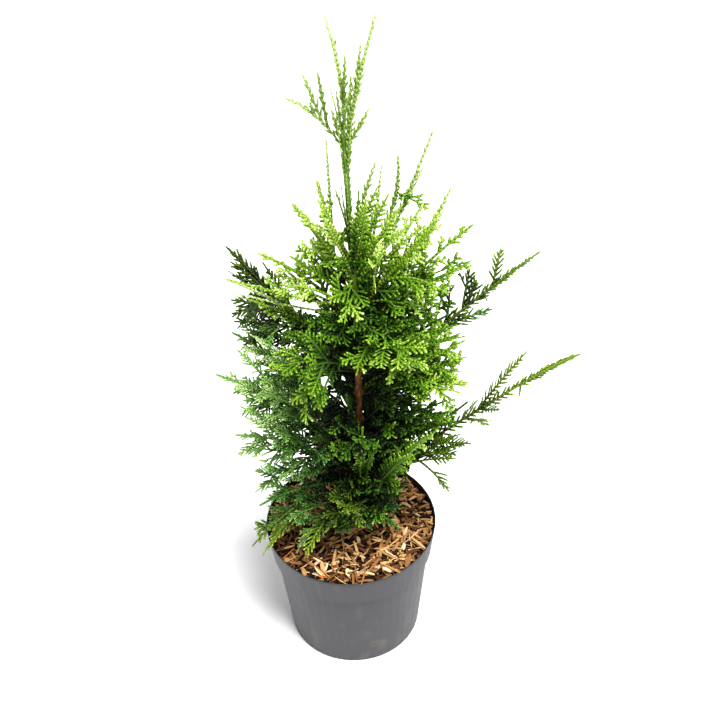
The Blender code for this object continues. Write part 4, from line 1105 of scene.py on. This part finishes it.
def fissures(angle, run, seed):
    """Stringy relief, from -1 to 1, along a stem: long ridges that wander and part."""
    chance = np.random.RandomState(seed)
    total = np.zeros(np.broadcast(angle, run).shape)
    weight = 0.0
    for turns in RIDGE_TURNS:
        wander = chance.uniform(0.5, 2.5) * np.sin(run / chance.uniform(9 * MM, 30 * MM)
                                                   + chance.uniform(0, 6))
        fade = 0.6 + 0.4 * np.sin(run / chance.uniform(4 * MM, 14 * MM) + chance.uniform(0, 6))
        total += np.sin(turns * angle + wander + chance.uniform(0, 6)) * fade / math.sqrt(turns)
        weight += 1 / math.sqrt(turns)
    return total / weight


def closed_tube(centres, along, normals, radii):
    """One tube, drawn in at both ends."""
    radii[0] = CLOSED_END
    radii[-1] = CLOSED_END
    return swept(centres[None], along[None], normals[None], radii[None])


def trunk_tube():
    """The trunk, with stringy bark and a swelling where each limb leaves it."""
    heights = np.arange(TRUNK[0, 0], TRUNK[-1, 0], BARK_RING_GAP)
    centres = np.stack([np.interp(heights, TRUNK[:, 0], TRUNK[:, 1]), 0 * heights, heights], axis=-1)
    radius = np.interp(heights, TRUNK[:, 0], TRUNK[:, 2])[:, None]
    angle = np.linspace(0, 2 * math.pi, BARK_SIDES, endpoint=False)[None]
    depth = np.interp(heights, BARK_HEIGHTS, BARK_DEPTHS)[:, None]
    radii = radius * (1 - depth * 0.5 + depth * fissures(angle, heights[:, None], BARK_SEED))
    for limb in LIMBS:
        bearing = math.radians(limb.bearing)
        near = np.exp(-((heights[:, None] - limb.start * CM) / FORK_REACH) ** 2)
        turn = np.cos(angle + math.pi / 2 - bearing)
        radii += FORK_SWELLING * radius * near * np.clip(turn, 0, 1) ** 3
    along = np.tile(np.array([0.0, 0.0, 1.0]), (len(heights), 1))
    normals = np.tile(np.array([1.0, 0.0, 0.0]), (len(heights), 1))
    return closed_tube(centres, along, normals, radii)


def bough_tube(axes, number):
    """The bough of a limb, a little way on into its foliage."""
    limb = LIMBS[number]
    share = np.linspace(0, BOUGH_OVERLAP * limb.bare * CM / axes.length[number], BOUGH_RINGS)
    point, along = place_on(axes, np.full(BOUGH_RINGS, number), share)
    run = share * axes.length[number]
    root = BOUGH_RADIUS + BOUGH_RADIUS_BY_REACH * limb.reach * CM
    radius = root * (1 - BOUGH_TAPER * run / run[-1])[:, None]
    angle = np.linspace(0, 2 * math.pi, BOUGH_SIDES, endpoint=False)[None]
    radii = radius * (1 + BOUGH_RELIEF * fissures(angle, run[:, None], number))
    normals = np.tile(axes.normal[number], (BOUGH_RINGS, 1))
    return closed_tube(point, along, normals, radii)


def build_bark(axes):
    """The trunk and the bare boughs."""
    bare = [number for number, limb in enumerate(LIMBS) if limb.bare]
    parts = [trunk_tube()] + [bough_tube(axes, number) for number in bare]
    starts = np.cumsum([0] + [len(vertices) for vertices, _ in parts[:-1]])
    vertices = np.concatenate([vertices for vertices, _ in parts])
    faces = np.concatenate([quads + start for (_, quads), start in zip(parts, starts)])
    slots = np.repeat([0] + [1] * len(bare), [len(quads) for _, quads in parts])
    woods = [bark_material(), plain("bough_brown", BOUGH_BROWN, 0.8, 0.2)]
    piece = mesh_object("bark", vertices, faces, woods, slots)
    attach(piece, "root")
    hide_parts("trunk", *["bough_" + LIMBS[number].name for number in bare])


def twig_browns(stems, axis_count, share):
    """0 for brown, 1 for olive and 2 for green, at a share of the way along each stem."""
    on_axis = (np.arange(len(stems.length)) < axis_count)[:, None]
    level = np.where(share < OLIVE_TO, 1, 2) - on_axis * (share < BROWNER_TO)
    return np.where((stems.hue == LEADING)[:, None], 2, level)


def build_twigs(axes, fronds):
    """Stems under the leaves: brown by the trunk, then olive, then green."""
    stems = stack(axes, pick(fronds, fronds.length > TWIG_BEARING_FROND))
    count = len(stems.length)
    share = np.tile(np.linspace(0, TWIG_SHARE, TWIG_RINGS), (count, 1))
    index = np.repeat(np.arange(count), TWIG_RINGS)
    point, along = place_on(stems, index, share.ravel())
    thick = np.clip(TWIG_RADIUS + stems.length * TWIG_RADIUS_BY_LENGTH, *TWIG_RADII)[:, None]
    radius = thick * (1 - TWIG_TAPER * share)
    radius[:, [0, -1]] *= TWIG_END_RADII
    radii = np.repeat(radius[:, :, None], TWIG_SIDES, axis=2)
    normals = np.repeat(stems.normal[:, None, :], TWIG_RINGS, axis=1)
    vertices, faces = swept(point.reshape(normals.shape), along.reshape(normals.shape), normals,
                            radii)
    slots = np.repeat(twig_browns(stems, len(axes.length), share[:, :-1]).ravel(), TWIG_SIDES)
    woods = [plain("twig_brown", TWIG_BROWN), plain("twig_olive", TWIG_OLIVE),
             plain("twig_green", TWIG_GREEN)]
    piece = mesh_object("twigs", vertices, faces, woods, slots)
    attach(piece, "root")
    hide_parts(*["foliage_" + limb.name for limb in LIMBS])


# ---------------------------------------------------------------- procedural materials

class Nodes:
    """A material being put together from nodes."""

    def __init__(self, name):
        self.made = bpy.data.materials.new(name)
        self.made.use_nodes = True
        self.tree = self.made.node_tree
        self.shader = self.tree.nodes["Principled BSDF"]
        place = self.tree.nodes.new("ShaderNodeTexCoord")
        self.place = place.outputs["Object"]

    def link(self, source, target):
        self.tree.links.new(source, target)

    def stretched(self, scale):
        """Object coordinates times a scale for each axis."""
        node = self.tree.nodes.new("ShaderNodeMapping")
        node.inputs["Scale"].default_value = scale
        self.link(self.place, node.inputs["Vector"])
        return node.outputs["Vector"]

    def noise(self, scale, detail=4.0, vector=None, roughness=0.55):
        node = self.tree.nodes.new("ShaderNodeTexNoise")
        node.inputs["Scale"].default_value = scale
        node.inputs["Detail"].default_value = detail
        node.inputs["Roughness"].default_value = roughness
        self.link(vector or self.place, node.inputs["Vector"])
        return node.outputs["Fac"]

    def ramp(self, value, *stops):
        node = self.tree.nodes.new("ShaderNodeValToRGB")
        elements = node.color_ramp.elements
        while len(elements) < len(stops):
            elements.new(0.5)
        for element, (position, colour) in zip(elements, stops):
            element.position = position
            element.color = (*colour, 1.0)
        self.link(value, node.inputs["Fac"])
        return node.outputs["Color"]

    def mix(self, factor, first, second):
        node = self.tree.nodes.new("ShaderNodeMix")
        node.data_type = "RGBA"
        for value, socket in ((factor, node.inputs[0]), (first, node.inputs[6]),
                              (second, node.inputs[7])):
            if isinstance(value, tuple):
                socket.default_value = (*value, 1.0)
            elif isinstance(value, float):
                socket.default_value = value
            else:
                self.link(value, socket)
        return node.outputs[2]

    def maths(self, operation, first, second=0.0):
        node = self.tree.nodes.new("ShaderNodeMath")
        node.operation = operation
        for value, socket in ((first, node.inputs[0]), (second, node.inputs[1])):
            if isinstance(value, float):
                socket.default_value = value
            else:
                self.link(value, socket)
        return node.outputs[0]

    def span(self, value, low, high):
        """How far a value has gone from low to high, kept between 0 and 1."""
        node = self.tree.nodes.new("ShaderNodeMapRange")
        self.link(value, node.inputs["Value"])
        node.inputs["From Min"].default_value = low
        node.inputs["From Max"].default_value = high
        return node.outputs["Result"]

    def parts(self, vector):
        node = self.tree.nodes.new("ShaderNodeSeparateXYZ")
        self.link(vector, node.inputs[0])
        return node.outputs

    def bump(self, height, strength, distance):
        node = self.tree.nodes.new("ShaderNodeBump")
        node.inputs["Strength"].default_value = strength
        node.inputs["Distance"].default_value = distance
        self.link(height, node.inputs["Height"])
        self.link(node.outputs["Normal"], self.shader.inputs["Normal"])

    def finish(self, colour, roughness, specular):
        self.link(colour, self.shader.inputs["Base Color"])
        if isinstance(roughness, float):
            self.shader.inputs["Roughness"].default_value = roughness
        else:
            self.link(roughness, self.shader.inputs["Roughness"])
        self.shader.inputs["Specular IOR Level"].default_value = specular
        return self.made


def bark_material():
    """Red-brown stringy bark that turns to smooth green skin towards the leader."""
    nodes = Nodes("bark_and_green_skin")
    grain = nodes.noise(1.0, 6.0, nodes.stretched((900, 900, 130)))
    brown = nodes.ramp(grain, *zip((0.30, 0.48, 0.62, 0.78), BARK_BROWNS))
    skin = nodes.noise(1.0, 4.0, nodes.stretched((500, 500, 90)))
    green = nodes.ramp(skin, *zip((0.30, 0.55, 0.75), SKIN_GREENS))
    height = nodes.parts(nodes.place)[2]
    patchy = nodes.maths("ADD", height, nodes.maths("MULTIPLY", nodes.noise(55.0), 0.12))
    colour = nodes.mix(nodes.span(patchy, *SKIN_HEIGHTS), brown, green)
    nodes.bump(grain, 0.5, 0.4 * MM)
    return nodes.finish(colour, nodes.span(grain, -0.6, 1.2), 0.3)


def pot_material():
    """Grey injection-moulded plastic, black inside, faintly scuffed, with some dried soil and painted
    shade along the top of the rim.
    """
    nodes = Nodes("pot_plastic_grey")
    cloud = nodes.noise(16.0, 5.0)
    streak = nodes.noise(1.0, 4.0, nodes.stretched((60, 60, 9)))
    grey = nodes.ramp(cloud, *zip((0.25, 0.55, 0.80), POT_GREYS))
    scuff = nodes.span(streak, 0.56, 0.76)
    grey = nodes.mix(nodes.maths("MULTIPLY", scuff, 0.30), grey, POT_SCUFF)
    geometry = nodes.tree.nodes.new("ShaderNodeNewGeometry")
    facing = nodes.parts(geometry.outputs["Normal"])
    where = nodes.parts(nodes.place)
    outward = nodes.maths("ADD", nodes.maths("MULTIPLY", facing[0], where[0]),
                          nodes.maths("MULTIPLY", facing[1], where[1]))
    downward = nodes.span(facing[2], -0.3, -0.6)
    outside = nodes.maths("MAXIMUM", nodes.span(outward, 0.010, 0.020), downward)
    dirt = nodes.maths("MULTIPLY", nodes.span(nodes.noise(30.0, 8.0), 0.55, 0.70),
                       nodes.span(nodes.noise(9.0, 2.0), 0.50, 0.66))
    colour = nodes.mix(nodes.maths("MULTIPLY", dirt, 0.35), grey, POT_DIRT)
    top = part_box("pot")[1].z
    # Painted shade: a dark band over the top 6 mm of the pot, darkest at the rim
    rim = nodes.maths("MULTIPLY", nodes.span(where[2], top - 6 * MM, top - 1 * MM), 0.75)
    colour = nodes.mix(rim, colour, POT_RIM_SHADE)
    colour = nodes.mix(outside, POT_INSIDE, colour)
    nodes.bump(nodes.noise(900.0, 3.0), 0.12, 0.15 * MM)
    return nodes.finish(colour, nodes.span(cloud, -1.4, 2.1), 0.5)


def soil_material():
    """Dark, crumbly potting soil with paler fibres."""
    nodes = Nodes("potting_soil_dark")
    crumb = nodes.noise(420.0, 8.0)
    colour = nodes.ramp(crumb, *zip((0.30, 0.52, 0.72), SOIL_BROWNS))
    nodes.bump(crumb, 0.8, 1.0 * MM)
    return nodes.finish(colour, 0.9, 0.2)


# ---------------------------------------------------------------- pot and mulch

def mulch_surface():
    """The top of the mulch solid, as a function of place."""
    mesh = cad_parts["mulch"].data
    tree = BVHTree.FromPolygons([v.co for v in mesh.vertices],
                                [tuple(p.vertices) for p in mesh.polygons])
    above, down = 0.3, Vector((0, 0, -1))
    low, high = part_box("mulch")
    fallback = (low.z + high.z) / 2

    def height(x, y):
        hit = tree.ray_cast(Vector((x, y, above)), down)[0]
        return hit.z if hit else fallback

    return height


def pot_inside(height):
    """The radius inside the pot's collar, from its solid's size."""
    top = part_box("pot")[1]
    return top.x - POT_WALL - (top.z - height) * POT_TAPER


def build_mulch():
    """The bed and the chips, in place of the mulch solid."""
    height = mulch_surface()
    chance = np.random.RandomState(MULCH_SEED)
    bed = mulch_bed(height, chance)
    chips = mulch_chips(height, chance)
    for piece in (bed, chips):
        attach(piece, "root")
        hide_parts("mulch")


def mulch_bed(height, chance):
    """The dark, lumpy soil and dust that shows between the chips, its near black partly soil and partly
    painted shade in the gaps.
    """
    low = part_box("mulch")[0].z
    reach = pot_inside(low) - BED_WALL_GAP
    turns = [2 * math.pi * step / BED_SIDES for step in range(BED_SIDES)]
    vertices = []
    for ring in range(BED_RINGS):
        radius = reach * (ring / (BED_RINGS - 1)) ** 0.8
        for turn in turns:
            x, y = radius * math.cos(turn), radius * math.sin(turn)
            inward = min(radius, reach - BED_EDGE) / max(radius, 1e-6)
            z = height(x * inward, y * inward) - BED_DEPTH + chance.normal(0, BED_LUMPS)
            vertices.append((x, y, z))
    vertices += [(reach * math.cos(turn), reach * math.sin(turn), low) for turn in turns]
    ring, step = np.meshgrid(np.arange(BED_RINGS), np.arange(BED_SIDES), indexing="ij")
    after = (step + 1) % BED_SIDES
    near, far = ring * BED_SIDES, (ring + 1) * BED_SIDES
    faces = np.stack([near + step, far + step, far + after, near + after], axis=-1).reshape(-1, 4)
    return mesh_object("mulch_bed", np.array(vertices), faces, [soil_material()])


def chip_sizes(chance):
    """The length, width and thickness of every chip."""
    shares = np.array([kind[0] for kind in CHIP_KINDS])
    kinds = chance.choice(len(CHIP_KINDS), CHIP_COUNT, p=shares / shares.sum())
    sizes = np.array([[chance.uniform(*CHIP_KINDS[kind][field]) for field in (1, 2, 3)]
                      for kind in kinds]) * MM
    return sizes.T


def chip_places(height, chance):
    """Where every chip lies, clear of the trunk, and its layer in the heap, from 0 to 1."""
    radius = pot_inside(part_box("mulch")[1].z) * np.sqrt(chance.uniform(0, 1, CHIP_COUNT))
    turn = chance.uniform(0, 2 * math.pi, CHIP_COUNT)
    centre = np.stack([radius * np.cos(turn), radius * np.sin(turn)], axis=-1)
    foot = trunk_place(TRUNK[0, 0])
    away = centre - foot[:2]
    gap = np.linalg.norm(away, axis=1, keepdims=True)
    centre = np.where(gap < CHIP_TRUNK_GAP, foot[:2] + away / gap * CHIP_TRUNK_GAP, centre)
    layer = chance.uniform(0, 1, CHIP_COUNT)
    level = np.array([height(x, y) for x, y in centre]) + (layer * CHIP_HEAP - CHIP_SINK) * MM
    return np.append(centre, level[:, None], axis=1), layer


def chip_directions(chance):
    """Which way every chip's length, width and thickness point. A few chips are turned up."""
    yaw = chance.uniform(0, 2 * math.pi, CHIP_COUNT)
    pitch = chance.normal(0, CHIP_PITCH, CHIP_COUNT)
    upturned = chance.uniform(0, 1, CHIP_COUNT) < UPTURNED_SHARE
    pitch = np.radians(pitch + np.where(upturned, chance.uniform(*UPTURNED_PITCH, CHIP_COUNT), 0))
    roll = np.radians(chance.normal(0, CHIP_ROLL, CHIP_COUNT))[:, None]
    along = np.stack([np.cos(yaw) * np.cos(pitch), np.sin(yaw) * np.cos(pitch), np.sin(pitch)], axis=-1)
    level = np.stack([-np.sin(yaw), np.cos(yaw), 0 * yaw], axis=-1)
    up = np.cross(along, level)
    return (along, level * np.cos(roll) + up * np.sin(roll),
            up * np.cos(roll) - level * np.sin(roll))


def chip_corners(places, sizes, chance):
    """The corners of every chip: a bent, tapering slip, with four corners to each ring."""
    long, wide, thick = sizes
    along, sideways, up = chip_directions(chance)
    bow = chance.normal(0, CHIP_BOW, CHIP_COUNT) * long
    skew = chance.normal(0, CHIP_SKEW, CHIP_COUNT) * long
    corners = np.zeros((CHIP_COUNT, CHIP_RINGS, len(CHIP_RING), 3))
    for ring in range(CHIP_RINGS):
        share = ring / (CHIP_RINGS - 1) * 2 - 1
        taper = (1 - 0.45 * abs(share) ** 3) * chance.uniform(*CHIP_UNEVENNESS, CHIP_COUNT)
        middle = places + along * (share * long / 2)[:, None]
        middle = middle + up * (bow * (1 - share ** 2))[:, None]
        middle = middle + sideways * (skew * share ** 2)[:, None]
        for corner, (a, b) in enumerate(CHIP_RING):
            place = middle + sideways * (a * wide * taper / 2)[:, None]
            corners[:, ring, corner] = place + up * (b * thick * taper ** 0.5 / 2)[:, None]
    return corners.reshape(CHIP_COUNT, -1, 3)


def keep_in_pot(corners, places, layer):
    """Moves chips in from the wall. Some of the top ones at the front lie on the rim."""
    reach = np.linalg.norm(corners[:, :, :2], axis=2).max(axis=1)
    at_front = (places[:, 1] < -RIM_CHIP_FRONT) & (np.abs(places[:, 0]) < RIM_CHIP_SIDE)
    on_rim = at_front & (layer > RIM_CHIPS_FROM)
    limit = np.where(on_rim, RIM_CHIP_REACH, pot_inside(places[:, 2]) - CHIP_WALL_GAP)
    excess = np.maximum(reach - limit, 0)
    corners[:, :, :2] -= (unit(places[:, :2]) * excess[:, None])[:, None, :]
    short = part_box("pot")[1].z + RIM_CHIP_LIFT - corners[:, :, 2].min(axis=1)
    rise = np.where(on_rim, np.maximum(short, 0), 0)
    corners[:, :, 2] += (rise * (reach > RIM_START))[:, None]


def chip_pattern():
    """The quads of one chip: its sides and its two ends."""
    sides = len(CHIP_RING)
    pattern = []
    for ring in range(CHIP_RINGS - 1):
        near, far = ring * sides, (ring + 1) * sides
        for corner in range(sides):
            after = (corner + 1) % sides
            pattern.append((near + corner, near + after, far + after, far + corner))
    pattern.append(tuple(range(sides))[::-1])
    pattern.append(tuple((CHIP_RINGS - 1) * sides + corner for corner in range(sides)))
    return np.array(pattern)


def chip_tones(layer, chance):
    """The tone of every chip: darker down in the heap, partly as damp wood and partly as painted shade
    under the chips above, with a few dead leaves on top.
    """
    tone = chance.choice(len(CHIP_TONES), CHIP_COUNT, p=CHIP_TONE_SHARES)
    tone = tone + sum((layer < depth).astype(int) for depth in CHIP_DAMP_AND_SHADE_LAYERS)
    tone = np.clip(tone, 0, len(CHIP_TONES) - 1)
    dead = (layer > DEAD_LEAVES_FROM) & (chance.uniform(0, 1, CHIP_COUNT) < DEAD_LEAF_SHARE)
    return np.where(dead, len(CHIP_TONES), tone)


def mulch_chips(height, chance):
    """Chips, slivers and shreds of wood that lie on one another."""
    sizes = chip_sizes(chance)
    places, layer = chip_places(height, chance)
    corners = chip_corners(places, sizes, chance)
    keep_in_pot(corners, places, layer)
    pattern = chip_pattern()
    faces = np.arange(CHIP_COUNT)[:, None, None] * corners.shape[1] + pattern[None]
    woods = [plain(f"chip_{number}", colour, 0.75, 0.25)
             for number, colour in enumerate((*CHIP_TONES, DEAD_LEAF))]
    slots = np.repeat(chip_tones(layer, chance), len(pattern))
    return mesh_object("mulch_chips", corners.reshape(-1, 3), faces.reshape(-1, 4), woods, slots,
                       smooth=False)


def finish_pot():
    """The pot's and the soil's own meshes keep their shape and get their materials."""
    for name, made in (("pot", pot_material()), ("soil", soil_material())):
        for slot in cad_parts[name].material_slots:
            slot.material = made


# ---------------------------------------------------------------- stage

def build_floor():
    """A plain pale floor."""
    size = FLOOR_SIZE
    corners = np.array([(-size, -size, 0), (size, -size, 0), (size, size, 0), (-size, size, 0)])
    white = plain("floor_white", FLOOR_WHITE, 0.6, 0.2)
    mesh_object("floor", corners, np.array([(0, 1, 2, 3)]), [white], smooth=False)


def build_light():
    """Soft white light from all round, and a wide key light from the front and the right."""
    world = bpy.data.worlds.new("studio")
    world.use_nodes = True
    sky = world.node_tree.nodes["Background"]
    sky.inputs["Color"].default_value = (1.0, 1.0, 1.0, 1.0)
    sky.inputs["Strength"].default_value = SKY_STRENGTH
    bpy.context.scene.world = world
    bpy.context.scene.view_settings.view_transform = "Standard"
    bpy.context.scene.view_settings.look = "Medium High Contrast"
    sun = bpy.data.lights.new("key", "SUN")
    sun.energy = KEY_STRENGTH
    sun.angle = math.radians(KEY_WIDTH)
    key = bpy.data.objects.new("key", sun)
    key.rotation_euler = Vector(KEY_AIM).to_track_quat("-Z", "Y").to_euler()
    bpy.context.scene.collection.objects.link(key)


def build_camera():
    """The camera at the photograph's viewing angle."""
    right, up, forward = camera_axes()
    data = bpy.data.cameras.new("camera")
    data.sensor_width = CAMERA_SENSOR
    data.lens = CAMERA_LENS
    camera = bpy.data.objects.new("camera", data)
    turn = Matrix((right, up, -forward)).transposed()
    camera.matrix_world = Matrix.Translation(CAMERA_PLACE) @ turn.to_4x4()
    bpy.context.scene.collection.objects.link(camera)
    bpy.context.scene.camera = camera


build_floor()
build_light()
build_camera()
finish_pot()
build_mulch()
shoots = grow()
build_bark(shoots[0])
build_twigs(shoots[0], shoots[2])
build_foliage(*shoots)
